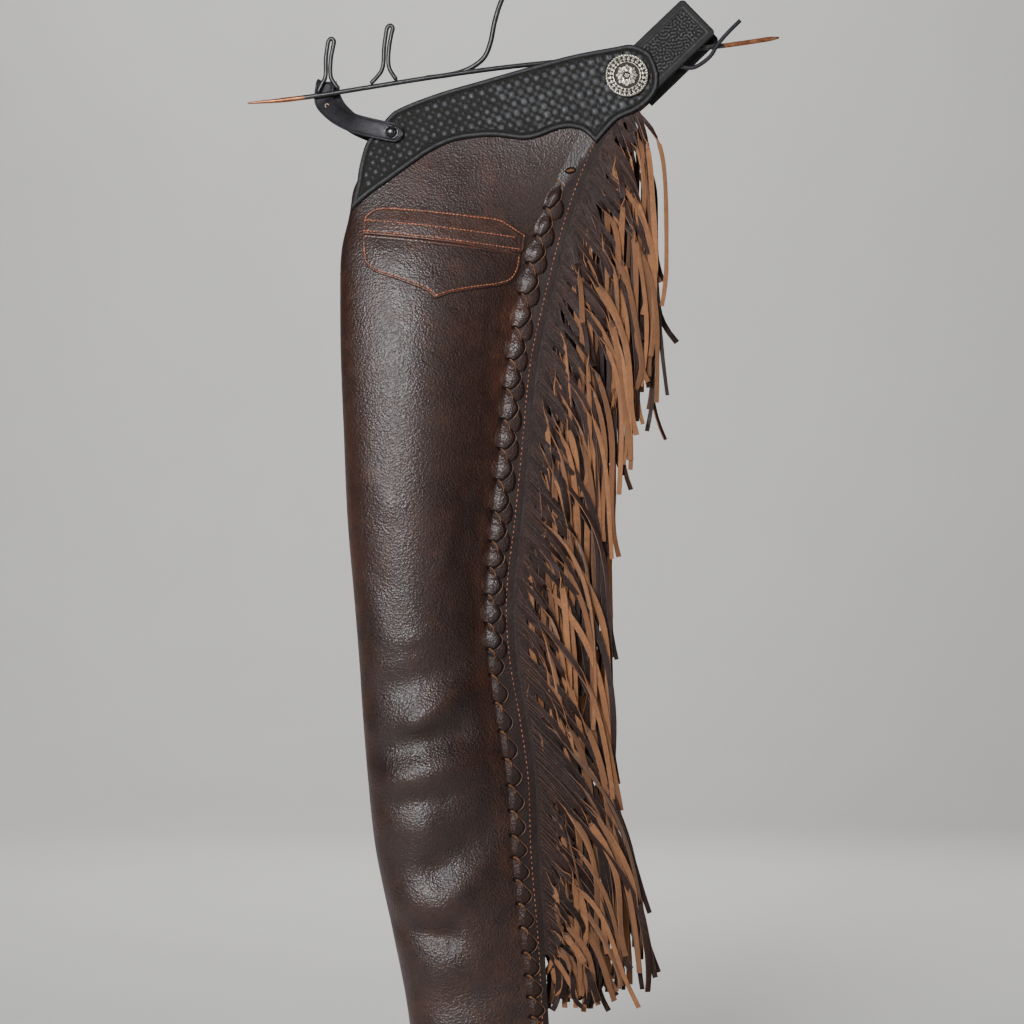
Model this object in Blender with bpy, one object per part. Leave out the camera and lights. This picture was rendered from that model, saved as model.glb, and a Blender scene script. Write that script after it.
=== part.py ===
"""Fringed leather chaps, folded in half and hung on a wire hanger.

Units in this file are millimetres until a mesh is made. A point is (across, drop, out):
across runs to the right, drop is the distance below the hanger's hook, and out is the distance
from the middle plane between the two legs. The near leg faces -Y and the far leg is its mirror.
"""

import math
import random
from collections import namedtuple

import bmesh
import bpy
from mathutils import Vector

MM = 0.001
GAP = 0.3

# Leg: one row for each height, from the yoke down to the hem
Section = namedtuple("Section", "drop left seam edge outer inner")
LEG = [
    Section(116, -101, 137, 163, 9, 5),
    Section(178, -127, 102, 140, 13, 9),
    Section(199, -137, 89, 114, 16, 10),
    Section(231, -154, 71, 98, 25, 11),
    Section(262, -159, 55, 85, 36, 12),
    Section(298, -163, 41, 72, 49, 12),
    Section(337, -171, 29, 61, 64, 11),
    Section(388, -172, 17, 49, 78, 10),
    Section(450, -171, 6, 36, 88, 9),
    Section(521, -168, -1, 28, 94, 9),
    Section(613, -164, -10, 19, 97, 8),
    Section(695, -157, -16, 11, 97, 8),
    Section(757, -152, -14, 14, 97, 8),
    Section(818, -148, -5, 24, 97, 8),
    Section(879, -143, 5, 33, 97, 8),
    Section(951, -135, 10, 36, 95, 8),
    Section(1033, -118, 19, 42, 93, 8),
    Section(1104, -104, 27, 46, 91, 9),
    Section(1168, -96, 34, 50, 90, 9),
]
LEG_WALL = 2.2
SEAM_INSET = 5.0
INNER_TIP_INSET = 3.4
CREST_SHARE = 0.6
SEAM_OUT_AT_TOP = 11.0
SEAM_TOP_DROP = 178.0
SEAM_SLOPE = 0.06
PLAIN_DROP = 388.0

# The top edge of a leg: turn 0 is the seam, 1 the left fold, 2 the seam again from behind
TopEdge = namedtuple("TopEdge", "turn drop")
LEG_TOP = [
    TopEdge(0.0, 181), TopEdge(0.12, 190), TopEdge(0.25, 204), TopEdge(0.38, 206),
    TopEdge(0.5, 207), TopEdge(0.62, 214), TopEdge(0.74, 232), TopEdge(0.87, 258),
    TopEdge(1.0, 284), TopEdge(1.25, 340), TopEdge(1.5, 366), TopEdge(1.75, 326),
    TopEdge(1.9, 268), TopEdge(2.0, 181),
]
FRONT_TURNS = [0.12, 0.25, 0.38, 0.5, 0.6, 0.7, 0.8, 0.9]
BACK_TURNS = [1.12, 1.25, 1.4, 1.55, 1.7, 1.85]
TOP_ROWS = 8
LOWER_ROWS = [388, 445, 505, 570, 635, 690, 722, 748, 774, 800, 826, 852, 878, 904, 930, 956,
              982, 1008, 1036, 1080, 1124, 1168]

# The largest folds: a soft ridge (high above 0) or trough between two places on the leg
Fold = namedtuple("Fold", "across0 drop0 across1 drop1 width high")
FOLDS = [
    Fold(-140, 792, -32, 754, 20, -4.0),
    Fold(-92, 819, -22, 770, 15, 4.0),
    Fold(-148, 852, -50, 826, 16, -4.5),
    Fold(-118, 877, -18, 854, 17, 4.5),
    Fold(-130, 922, -88, 924, 20, 3.0),
    Fold(-70, 962, -20, 930, 18, -4.0),
    Fold(-44, 985, 0, 950, 15, 3.5),
    Fold(-106, 1002, -66, 1000, 18, 3.5),
    Fold(-118, 1024, -60, 1034, 12, -3.5),
]

# Yoke: its upper and lower edges from the left point to the round end
YOKE_UPPER = [(-160, 292), (-155, 270), (-152, 247), (-145, 223), (-129, 203), (-116, 190),
              (-75, 173), (-28, 159), (20, 145), (67, 132), (114, 123), (126, 121),
              (138, 124), (148, 131), (153, 142), (156, 151)]
YOKE_LOWER = [(-160, 296), (-142, 280), (-123, 266), (-99, 248), (-81, 235), (-66, 227),
              (-52, 222), (-33, 219), (-14, 218), (5, 220), (16, 221), (31, 218), (48, 211),
              (61, 208), (71, 209), (79, 212), (91, 224), (102, 211), (114, 199), (133, 190),
              (148, 178), (155, 166), (156, 158)]
PANEL_LIFT = 1.1
PANEL_STEP = 13.0
YOKE_THICK = 3.4
YOKE_LANES = 3

# Pocket and its top band
POCKET_TOP = [(-148, 309), (-146, 302), (-133, 294), (-101, 295), (-70, 298), (-40, 301),
              (-10, 304), (4, 311), (17, 319)]
BAND_LINE = [(-148, 322), (-101, 327), (-54, 332), (12, 338)]
BAND_END = (17, 323)
POCKET_BOTTOM = [(-148, 336), (-147, 345), (-144, 354), (-134, 362), (-117, 368), (-101, 374),
                 (-84, 381), (-74, 389), (-61, 384), (-49, 381), (-30, 377), (-10, 373),
                 (3, 367), (10, 355), (12, 343)]
POCKET_THICK = 1.6
POCKET_LANES = 4

# Back belt, from under the yoke's round end up to its free end
BELT_START = (128, 158)
BELT_END = (198.5, 90)
BELT_WIDTH = 50.0
BELT_THICK = 3.0
BELT_CORNER = 4.0
FAR_BELT_SLIP = (5.0, 5.5)

CONCHO_AT = (123, 154)
CONCHO_PROFILE = [(22.3, 0.0), (22.3, 1.6), (21.0, 2.7), (18.6, 3.0), (8.0, 3.4), (0.0, 3.6)]
CONCHO_SIDES = 24
RIVET_AT = (-120, 214)
RIVET_PROFILE = [(5.6, 0.0), (5.2, 1.2), (3.0, 2.4), (0.0, 2.8)]
RIVET_SIDES = 14

# Slit braid that closes the outseam: where each lobe starts
BITES = [262, 291, 320, 348, 380, 415, 448, 478, 510, 540, 572, 605, 635, 662, 690, 719, 745,
         772, 800, 829, 857, 884, 910, 935, 957, 980, 1004, 1028, 1053, 1076, 1098, 1118, 1140]
LobeRow = namedtuple("LobeRow", "share right left_high crown_high right_high")
LOBE_ROWS = [LobeRow(0.0, 2.0, 0.9, 1.0, 0.7), LobeRow(0.28, 5.8, 1.4, 3.3, 1.3),
             LobeRow(0.72, 6.2, 1.4, 3.4, 1.4)]
BRAID_LEFT = -4.4
BRAID_CROWN = 0.6

# Fringe: how long the strands are and how far they swing out, by the height of the root
FringeRow = namedtuple("FringeRow", "drop length reach")
FRINGE = [
    FringeRow(180, 205, 30), FringeRow(230, 225, 60), FringeRow(290, 240, 82),
    FringeRow(385, 250, 66), FringeRow(490, 265, 76), FringeRow(600, 275, 90),
    FringeRow(700, 285, 106), FringeRow(800, 285, 124), FringeRow(860, 255, 126),
    FringeRow(950, 165, 100), FringeRow(1056, 62, 44),
]
STRANDS = 70
FIRST_ROOT = 182.0
ROOT_PITCH = 12.6
ROOT_WIDE = 8.6
STRAND_WIDE = 7.2
STRAND_THICK = 0.8
STRIP_WIDE = 6.0
STRIP_THICK = 1.6
STRAND_SET_BACK = 0.03
STRAND_STEPS = [0.025, 0.17, 0.5, 1.0]

# Front strap: from the near rivet, behind the rod, over its own fold and down to the far rivet
StrapPoint = namedtuple("StrapPoint", "across drop out")
STRAP_NEAR = [StrapPoint(-108, 216, 29.0), StrapPoint(-122, 213.5, 28.6),
              StrapPoint(-141, 209, 25.2), StrapPoint(-160, 203, 18.0),
              StrapPoint(-176, 194, 8), StrapPoint(-188, 183, 0), StrapPoint(-192, 175, -4.6)]
STRAP_FOLD_AT = (-190.5, 161, -8.0)
STRAP_FOLD_RADIUS = 3.4
STRAP_FAR = [StrapPoint(-183, 176, -11.4), StrapPoint(-175, 188, -14.5),
             StrapPoint(-160, 200, -20.0), StrapPoint(-141, 208, -25.4),
             StrapPoint(-122, 213.5, -28.6), StrapPoint(-108, 216, -29.0)]
STRAP_WIDE = 20.0
STRAP_THICK = 2.4

# Back lace: it leaves the belt on its inner side, crosses in front of the rod and ends free
LACE = [(165, 134, 4.6), (172, 139, 4.8), (181, 143, 4.9), (192, 144, 5.3), (202, 139, 5.8),
        (211, 131, 6.1), (217, 121, 6.3), (228, 108, 6.2), (241, 95, 5.6)]
LACE_RADIUS = 2.2
LACE_STEPS = 2

# Hanger: points are (across, drop, out)
ROD = [(-270, 180, 0), (-235, 177, 0), (-197, 172, 0), (-141, 163, 0), (-68, 151.5, 0),
       (12, 141, 0), (116, 131, 0), (218, 121, 0), (281, 112, 0)]
ROD_RADIUS = 2.6
ROD_TIP_RADIUS = 0.9
STEM = [(-84, 152.5, -5.6), (-66, 150.5, -5.6), (-48, 146.5, -4.8), (-34, 140, -3.4),
        (-24, 131, -1.6), (-18, 116, 0), (-14, 96, 0), (-7, 74, 0), (4, 54, 0), (13, 36, 0)]
STEM_RADIUS = 2.7
HOOK_RADIUS = 16.0
HOOK_START = -0.35
HOOK_TURN = 3.9
HOOK_STEPS = 11
PRONG_FRONT = [(-197, 167.4, 0), (-193.5, 160, 0), (-190, 153, 0), (-189.4, 134, 0),
               (-187.6, 120, 0), (-186.6, 115.4, 0), (-183.6, 112.8, 0), (-181, 115.6, 0),
               (-181.8, 121, 0), (-184.2, 134, 0), (-184.4, 152, 0), (-181, 159, 0),
               (-176.8, 164.2, 0)]
PRONG_MIDDLE = [(-141.6, 158.5, 0), (-136, 152.5, 0), (-131.4, 146, 0), (-129.6, 138, 0),
                (-128.8, 122, 0), (-126.6, 106, 0), (-125.6, 101.6, 0), (-122.4, 99, 0),
                (-119.8, 101.8, 0), (-121, 107, 0), (-123.6, 122, 0), (-124.4, 138, 0),
                (-122.6, 145.5, 0), (-116.8, 154.6, 0)]
PRONG_RADIUS = 2.3
WIRE_STEPS = 3

Finish = namedtuple("Finish", "name colour roughness metallic")
LEG_LEATHER = Finish("chocolate_leather", (0.055, 0.036, 0.032), 0.45, 0.0)
BRAID_LEATHER = Finish("braid_leather", (0.040, 0.026, 0.023), 0.42, 0.0)
SUEDE = Finish("fringe_suede", (0.40, 0.20, 0.10), 0.9, 0.0)
BLACK_LEATHER = Finish("black_belt_leather", (0.020, 0.021, 0.021), 0.4, 0.0)
STRAP_LEATHER = Finish("black_strap_leather", (0.015, 0.015, 0.016), 0.38, 0.0)
SILVER = Finish("antique_silver", (0.62, 0.57, 0.48), 0.32, 1.0)
WIRE = Finish("black_wire", (0.012, 0.012, 0.012), 0.35, 0.6)


def material(finish):
    """Return the finish as a Principled material, made once."""
    found = bpy.data.materials.get(finish.name)
    if found:
        return found
    made = bpy.data.materials.new(finish.name)
    made.use_nodes = True
    shader = made.node_tree.nodes["Principled BSDF"]
    shader.inputs["Base Color"].default_value = (*finish.colour, 1.0)
    shader.inputs["Roughness"].default_value = finish.roughness
    shader.inputs["Metallic"].default_value = finish.metallic
    made.diffuse_color = (*finish.colour, 1.0)
    return made


def place(point, side):
    """Turn (across, drop, out) into metres. Side is 1 for the near half, -1 for the far half."""
    across, drop, out = point
    return Vector((across, -out * side, -drop)) * MM


def solid(name, points, faces, finish, side=1, crease=40.0):
    """Make one closed object from points in millimetres and faces of point numbers."""
    mesh = bpy.data.meshes.new(name)
    mesh.from_pydata([place(point, side) for point in points], [], faces)
    shape = bmesh.new()
    shape.from_mesh(mesh)
    bmesh.ops.recalc_face_normals(shape, faces=shape.faces)
    shape.to_mesh(mesh)
    shape.free()
    mesh.shade_smooth()
    mesh.set_sharp_from_angle(angle=math.radians(crease))
    mesh.materials.append(material(finish))
    thing = bpy.data.objects.new(name, mesh)
    bpy.context.scene.collection.objects.link(thing)
    return thing


def smooth_value(rows, key, column, at):
    """Read a column of a table at a height, along a smooth curve through its rows."""
    keys = [getattr(row, key) for row in rows]
    values = [getattr(row, column) for row in rows]
    if at <= keys[0]:
        return values[0] + (at - keys[0]) * (values[1] - values[0]) / (keys[1] - keys[0])
    if at >= keys[-1]:
        return values[-1]
    k = max(i for i, edge in enumerate(keys[:-1]) if edge <= at)
    span = keys[k + 1] - keys[k]

    def tangent(i):
        low, high = max(i - 1, 0), min(i + 1, len(keys) - 1)
        return (values[high] - values[low]) / (keys[high] - keys[low])

    t = (at - keys[k]) / span
    start, end = tangent(k) * span, tangent(k + 1) * span
    return ((2 * t**3 - 3 * t**2 + 1) * values[k] + (t**3 - 2 * t**2 + t) * start
            + (3 * t**2 - 2 * t**3) * values[k + 1] + (t**3 - t**2) * end)


def line_value(points, across):
    """Read an edge given as (across, drop) points at one place."""
    for (x0, y0), (x1, y1) in zip(points, points[1:]):
        if across <= x1:
            return y0 + (y1 - y0) * max(0.0, (across - x0) / (x1 - x0))
    return points[-1][1]


def leg_value(column, drop):
    return smooth_value(LEG, "drop", column, drop)


def seam_out(drop):
    """Distance of the seam and its flange from the middle plane."""
    return SEAM_OUT_AT_TOP + SEAM_SLOPE * (drop - SEAM_TOP_DROP)


def fold_height(across, drop):
    """Sum of the ridges and troughs at one place on the leg."""
    total = 0.0
    for fold in FOLDS:
        along = Vector((fold.across1 - fold.across0, fold.drop1 - fold.drop0))
        to = Vector((across - fold.across0, drop - fold.drop0))
        share = min(1.0, max(0.0, to.dot(along) / along.length_squared))
        away = (to - along * share).length / fold.width
        total += fold.high * math.exp(-away * away)
    return total


def shell_point(turn, drop, inset=0.0):
    """A point on the leg's outer face, or on its inner face with the wall as inset."""
    behind = turn > 1.0
    t = 2.0 - turn if behind else turn
    sign = -1.0 if behind else 1.0
    tip = leg_value("seam", drop) - SEAM_INSET - (INNER_TIP_INSET if inset else 0.0)
    width = tip - leg_value("left", drop) - inset
    outer, inner = leg_value("outer", drop), leg_value("inner", drop)
    face = (inner + inset) if behind else (outer - inset)
    start = seam_out(drop) + (0.0 if inset else sign * LEG_WALL / 2)
    if t < 0.5:
        share = CREST_SHARE * t / 0.5
        lean = math.sin(math.pi / 2 * t / 0.5)
        out = start + (face - start) * lean
    else:
        angle = math.pi / 2 * (t - 0.5) / 0.5
        lean = math.cos(angle)
        share = CREST_SHARE + (1.0 - CREST_SHARE) * math.sin(angle)
        out = (outer + inner) / 2 + sign * ((outer - inner) / 2 - inset) * lean
    across = tip - width * share
    out += sign * lean * fold_height(across, drop)
    return Vector((across, drop, out))


def face_point(across, drop, lift):
    """A point over the leg's outer face at a place seen from the front, moved out by lift."""
    tip = leg_value("seam", drop) - SEAM_INSET
    share = (tip - across) / (tip - leg_value("left", drop))
    if share <= 0.0:
        return Vector((across, drop, seam_out(drop) + LEG_WALL / 2 + lift))
    if share < CREST_SHARE:
        turn = 0.5 * share / CREST_SHARE
    else:
        rise = min(0.99, (share - CREST_SHARE) / (1.0 - CREST_SHARE))
        turn = 0.5 + math.asin(rise) / math.pi
    step = 0.01
    here = shell_point(turn, drop)
    round_leg = shell_point(turn + step, drop) - shell_point(turn - step, drop)
    if turn < 2 * step:
        round_leg = shell_point(turn + 2 * step, drop) - here
    down_leg = shell_point(turn, drop + 1.0) - shell_point(turn, drop - 1.0)
    normal = round_leg.cross(down_leg).normalized()
    if normal.z < 0.0:
        normal = -normal
    return here + normal * lift


def grid_faces(rows, columns, first=0, closed=False):
    """Quads of a grid whose points are numbered row by row."""
    faces = []
    for row in range(rows - 1):
        for column in range(columns if closed else columns - 1):
            beside = (column + 1) % columns
            a, b = first + row * columns, first + (row + 1) * columns
            faces.append((a + column, a + beside, b + beside, b + column))
    return faces


def leg_heights(turn):
    """The drops of one column's points, from the top edge to the hem."""
    top = smooth_value(LEG_TOP, "turn", "drop", turn)
    upper = [top + (PLAIN_DROP - top) * i / TOP_ROWS for i in range(TOP_ROWS)]
    return upper + LOWER_ROWS


def flange_edge(drop):
    """The flange's outer edge, straight between the leg's rows of points."""
    heights = leg_heights(0.0)
    k = max([i for i, height in enumerate(heights[:-1]) if height <= drop], default=0)
    t = (drop - heights[k]) / (heights[k + 1] - heights[k])
    low, high = leg_value("edge", heights[k]), leg_value("edge", heights[k + 1])
    return low + (high - low) * t - STRIP_WIDE - GAP


def make_leg(side, name):
    """One leg: a tube of leather whose two edges meet at the seam and run on as the flange."""
    tube_turns = [0.0] + FRONT_TURNS + [1.0] + BACK_TURNS
    rows = TOP_ROWS + len(LOWER_ROWS)
    outer = len(tube_turns) + 3
    inner = len(tube_turns)
    columns = [leg_heights(turn) for turn in tube_turns]
    points = []
    for row in range(rows):
        seam_drop = columns[0][row]
        flange = flange_edge(seam_drop)
        middle = seam_out(seam_drop)
        points.append((flange, seam_drop, middle + LEG_WALL / 2))
        points += [shell_point(turn, columns[i][row]) for i, turn in enumerate(tube_turns)]
        points.append(shell_point(2.0, seam_drop))
        points.append((flange, seam_drop, middle - LEG_WALL / 2))
    for row in range(rows):
        points += [shell_point(turn, columns[i][row], LEG_WALL)
                   for i, turn in enumerate(tube_turns)]
    first_inner = rows * outer
    faces = grid_faces(rows, outer, 0, closed=True)
    faces += grid_faces(rows, inner, first_inner, closed=True)
    for row in (0, rows - 1):
        out0, in0 = row * outer, first_inner + row * inner
        for i in range(inner):
            beside = (i + 1) % inner
            faces.append((out0 + 1 + i, out0 + 2 + i, in0 + beside, in0 + i))
        faces.append((out0, out0 + 1, out0 + outer - 2, out0 + outer - 1))
        faces.append((out0 + 1, in0, out0 + outer - 2))
    return solid(name, points, faces, LEG_LEATHER, side)


def panel_stations(upper, lower):
    """Where a panel's rows of points stand: at its corners, and between those far apart."""
    corners = sorted({x for x, _ in upper} | {x for x, _ in lower})
    stations = [corners[0]]
    for corner in corners[1:]:
        parts = math.ceil((corner - stations[-1]) / PANEL_STEP)
        start = stations[-1]
        stations += [start + (corner - start) * (i + 1) / parts for i in range(parts)]
    return stations


def make_panel(name, upper, lower, lanes, lift, thick, finish, side):
    """A flat piece that lies on the leg between two edges given as (across, drop) points."""
    stations = panel_stations(upper, lower)
    points = []
    for height in (lift, lift + thick):
        for x in stations:
            top, bottom = line_value(upper, x), line_value(lower, x)
            points += [face_point(x, top + (bottom - top) * i / lanes, height)
                       for i in range(lanes + 1)]
    columns, rows = lanes + 1, len(stations)
    back = rows * columns
    faces = grid_faces(rows, columns) + grid_faces(rows, columns, back)
    ring = list(range(columns)) + [r * columns + lanes for r in range(1, rows)]
    ring += [back - 1 - i for i in range(1, columns)]
    ring += [r * columns for r in range(rows - 2, 0, -1)]
    for a, b in zip(ring, ring[1:] + ring[:1]):
        faces.append((a, b, b + back, a + back))
    return solid(name, points, faces, finish, side)


def make_belt(name, slip, side):
    """The back belt: a flat strap with two cut corners at its free end."""
    start, end = Vector(BELT_START), Vector(BELT_END)
    along = (end - start).normalized()
    across = Vector((along.y, -along.x)) * BELT_WIDTH / 2
    cut = across.normalized() * BELT_CORNER
    outline = [start - across, start + across, end - along * BELT_CORNER + across,
               end + across - cut, end - across + cut, end - along * BELT_CORNER - across]
    outline = [corner + Vector(slip) for corner in outline]
    points = []
    for back in (GAP, GAP + BELT_THICK):
        for corner in outline:
            out = seam_out(corner.y) + LEG_WALL / 2 + PANEL_LIFT - back
            points.append((corner.x, corner.y, out))
    count = len(outline)
    faces = [tuple(range(count)), tuple(range(count, 2 * count))]
    faces += [(i, (i + 1) % count, (i + 1) % count + count, i + count) for i in range(count)]
    return solid(name, points, faces, BLACK_LEATHER, side)


def make_disc(name, centre, normal, profile, sides, finish, side):
    """A turned piece whose profile is (radius, height) points from its rim to its centre."""
    normal = Vector(normal).normalized()
    across = Vector((1, 0, 0))
    down = across.cross(normal).normalized()
    across = normal.cross(down)
    points = [centre]
    for radius, height in profile[:-1]:
        for i in range(sides):
            angle = 2 * math.pi * i / sides
            spoke = across * math.cos(angle) + down * math.sin(angle)
            points.append(centre + spoke * radius + normal * height)
    points.append(centre + normal * profile[-1][1])
    rings = len(profile) - 1
    faces = grid_faces(rings, sides, 1, closed=True)
    last = 1 + (rings - 1) * sides
    for i in range(sides):
        beside = (i + 1) % sides
        faces.append((0, 1 + i, 1 + beside))
        faces.append((len(points) - 1, last + i, last + beside))
    return solid(name, points, faces, finish, side, crease=50)


def make_braid(side, name):
    """The slit braid: a strip of interlocked lobes that lies on the flange beside the seam."""
    rows = []
    for start, end in zip(BITES, BITES[1:]):
        rows += [(start + (end - start) * row.share, row) for row in LOBE_ROWS]
    rows.append((BITES[-1], LOBE_ROWS[0]))
    points = []
    for drop, row in rows:
        seam = leg_value("seam", drop)
        base = seam_out(drop) + LEG_WALL / 2 + GAP
        points += [(seam + BRAID_LEFT, drop, base), (seam + BRAID_LEFT, drop, base + row.left_high),
                   (seam + BRAID_CROWN, drop, base + row.crown_high),
                   (seam + row.right, drop, base + row.right_high), (seam + row.right, drop, base)]
    columns = 5
    faces = grid_faces(len(rows), columns, 0, closed=True)
    faces.append(tuple(range(columns)))
    faces.append(tuple(range(len(points) - columns, len(points))))
    return solid(name, points, faces, BRAID_LEATHER, side, crease=60)


def strand_path(root_drop, chance):
    """Middle line of a strand as (across, drop): it leaves sideways and then hangs."""
    root = Vector((leg_value("edge", root_drop), root_drop))
    length = smooth_value(FRINGE, "drop", "length", root_drop) * chance.uniform(0.8, 1.0)
    reach = smooth_value(FRINGE, "drop", "reach", root_drop) * chance.uniform(0.15, 1.0)
    quick = chance.uniform(0.25, 0.70)
    sway = chance.uniform(-3.0, 3.0)
    path = []
    for share in STRAND_STEPS:
        swing = (1.0 - math.exp(-share / quick)) / (1.0 - math.exp(-1.0 / quick))
        across = max(reach * swing, 4.5) + sway * math.sin(math.pi * share)
        path.append(root + Vector((across, length * share)))
    return path


def make_fringe(side, name):
    """The fringe: a narrow strip beside the flange, cut into strands along its outer edge."""
    chance = random.Random(11)
    drops = []
    for i in range(STRANDS):
        drops += [FIRST_ROOT + i * ROOT_PITCH, FIRST_ROOT + i * ROOT_PITCH + ROOT_WIDE]
    points = []
    for drop in drops:
        edge, middle = leg_value("edge", drop), seam_out(drop)
        for across in (flange_edge(drop) + GAP, edge):
            points += [(across, drop, middle + STRIP_THICK / 2),
                       (across, drop, middle - STRIP_THICK / 2)]
    faces = [(0, 1, 3, 2)]
    last = (len(drops) - 1) * 4
    faces.append((last, last + 1, last + 3, last + 2))
    for row in range(len(drops) - 1):
        a, b = row * 4, row * 4 + 4
        faces += [(a, a + 2, b + 2, b), (a + 1, a + 3, b + 3, b + 1), (a, a + 1, b + 1, b)]
        if row % 2:
            faces.append((a + 2, a + 3, b + 3, b + 2))
    for i in range(STRANDS):
        root = i * 8
        ring = [root + 2, root + 3, root + 7, root + 6]
        root_drop = FIRST_ROOT + i * ROOT_PITCH + ROOT_WIDE / 2
        path = strand_path(root_drop, chance)
        start = Vector((leg_value("edge", root_drop), root_drop))
        for k, spot in enumerate(path):
            before = path[k - 1] if k else start
            after = path[min(k + 1, len(path) - 1)]
            along = (after - before).normalized()
            wide = Vector((along.y, -along.x)) * STRAND_WIDE / 2
            first = len(points)
            for corner, face in ((spot + wide, 1), (spot + wide, -1),
                                 (spot - wide, -1), (spot - wide, 1)):
                out = seam_out(root_drop) - STRAND_SET_BACK * (corner.y - root_drop)
                points.append((corner.x, corner.y, out + face * STRAND_THICK / 2))
            fresh = [first, first + 1, first + 2, first + 3]
            faces += [(ring[j], ring[(j + 1) % 4], fresh[(j + 1) % 4], fresh[j])
                      for j in range(4)]
            ring = fresh
        faces.append(tuple(ring))
    return solid(name, points, faces, SUEDE, side, crease=30)


def make_strap():
    """The front strap: it goes behind the rod, folds over and joins the two yokes."""
    stations = [(Vector(point), Vector((0, 0, 1))) for point in STRAP_NEAR]
    fold = Vector(STRAP_FOLD_AT)
    for i in range(5):
        angle = math.pi * i / 4
        normal = Vector((0, -math.sin(angle), math.cos(angle)))
        shift = Vector((3.0 * i / 4, 0, 0))
        stations.append((fold + shift + normal * STRAP_FOLD_RADIUS, normal))
    stations += [(Vector(point), Vector((0, 0, -1))) for point in STRAP_FAR]
    points, faces = [], []
    for k, (spot, normal) in enumerate(stations):
        before = stations[max(k - 1, 0)][0]
        after = stations[min(k + 1, len(stations) - 1)][0]
        along = (after - before).normalized()
        wide = along.cross(normal).normalized()
        thick = wide.cross(along).normalized()
        points += [spot + wide * STRAP_WIDE / 2 * a + thick * STRAP_THICK / 2 * b
                   for a, b in ((1, 1), (1, -1), (-1, -1), (-1, 1))]
    faces = grid_faces(len(stations), 4, 0, closed=True)
    faces += [(0, 1, 2, 3), tuple(range(len(points) - 4, len(points)))]
    return solid("front_strap", points, faces, STRAP_LEATHER)


def smooth_route(points, steps):
    """Points along a smooth curve through the given ones."""
    spots = [Vector(point) for point in points]
    route = []
    for i in range(len(spots) - 1):
        before = spots[max(i - 1, 0)]
        after = spots[min(i + 2, len(spots) - 1)]
        for k in range(steps):
            t = k / steps
            a = (after - spots[i]) / 2 if i + 2 < len(spots) else spots[i + 1] - spots[i]
            b = (spots[i + 1] - before) / 2 if i else spots[1] - spots[0]
            route.append((2 * t**3 - 3 * t**2 + 1) * spots[i] + (t**3 - 2 * t**2 + t) * b
                         + (3 * t**2 - 2 * t**3) * spots[i + 1] + (t**3 - t**2) * a)
    return route + [spots[-1]]


def make_wire(name, route, radius, finish, tips=()):
    """A round wire along a route. Tips are (point number, radius share) of its thinner ends."""
    curve = bpy.data.curves.new(name, "CURVE")
    curve.dimensions = "3D"
    curve.bevel_depth = radius * MM
    curve.bevel_resolution = 2
    curve.use_fill_caps = True
    spline = curve.splines.new("POLY")
    spline.points.add(len(route) - 1)
    for target, point in zip(spline.points, route):
        target.co = (*place(point, 1), 1.0)
        target.radius = 1.0
    for number, share in tips:
        spline.points[number].radius = share
    spline.use_smooth = True
    curve.materials.append(material(finish))
    thing = bpy.data.objects.new(name, curve)
    bpy.context.scene.collection.objects.link(thing)
    return thing


def hook_route():
    """The hanger's hook: an open arc whose inner top is the point that it hangs from."""
    centre = Vector((0, HOOK_RADIUS - STEM_RADIUS, 0))
    route = []
    for i in range(HOOK_STEPS):
        angle = HOOK_START + HOOK_TURN * i / (HOOK_STEPS - 1)
        route.append(centre + Vector((math.cos(angle), -math.sin(angle), 0)) * HOOK_RADIUS)
    return route


def make_half(side, half):
    """Every piece of one half of the chaps."""
    make_leg(side, f"leg_{half}")
    make_braid(side, f"seam_braid_{half}")
    make_fringe(side, f"fringe_{half}")
    make_panel(f"yoke_{half}", YOKE_UPPER, YOKE_LOWER, YOKE_LANES, PANEL_LIFT, YOKE_THICK,
               BLACK_LEATHER, side)
    band_lower = [(x, drop - GAP) for x, drop in BAND_LINE] + [BAND_END]
    pocket_upper = [(x, drop + GAP) for x, drop in BAND_LINE]
    make_panel(f"pocket_band_{half}", POCKET_TOP, band_lower, 2, PANEL_LIFT, POCKET_THICK,
               LEG_LEATHER, side)
    make_panel(f"pocket_{half}", pocket_upper, POCKET_BOTTOM, POCKET_LANES, PANEL_LIFT,
               POCKET_THICK, LEG_LEATHER, side)
    make_belt(f"back_belt_{half}", (0, 0) if side > 0 else FAR_BELT_SLIP, side)
    yoke_face = PANEL_LIFT + YOKE_THICK
    make_disc(f"concho_{half}", face_point(*CONCHO_AT, yoke_face + 2 * GAP),
              (0, -SEAM_SLOPE, 1), CONCHO_PROFILE, CONCHO_SIDES, SILVER, side)
    rivet_out = abs(STRAP_NEAR[1].out) + STRAP_THICK / 2 + 2 * GAP
    make_disc(f"rivet_{half}", Vector((*RIVET_AT, rivet_out)), (0, 0, 1), RIVET_PROFILE,
              RIVET_SIDES, STRAP_LEATHER, side)


def make_hanger():
    """The wire hanger: the rod, two upright prongs and the stem with its hook."""
    rod = smooth_route(ROD, WIRE_STEPS)
    share = ROD_TIP_RADIUS / ROD_RADIUS
    make_wire("hanger_rod", rod, ROD_RADIUS, WIRE, tips=((0, share), (1, 0.6), (-1, share)))
    make_wire("hanger_stem", smooth_route(STEM, WIRE_STEPS - 1) + hook_route(), STEM_RADIUS, WIRE)
    make_wire("hanger_prong_front", PRONG_FRONT, PRONG_RADIUS, WIRE)
    make_wire("hanger_prong_middle", PRONG_MIDDLE, PRONG_RADIUS, WIRE)


def main():
    for thing in list(bpy.data.objects):
        bpy.data.objects.remove(thing)
    make_half(1, "near")
    make_half(-1, "far")
    make_strap()
    make_wire("back_lace", smooth_route(LACE, LACE_STEPS), LACE_RADIUS, STRAP_LEATHER)
    make_hanger()


main()
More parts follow.
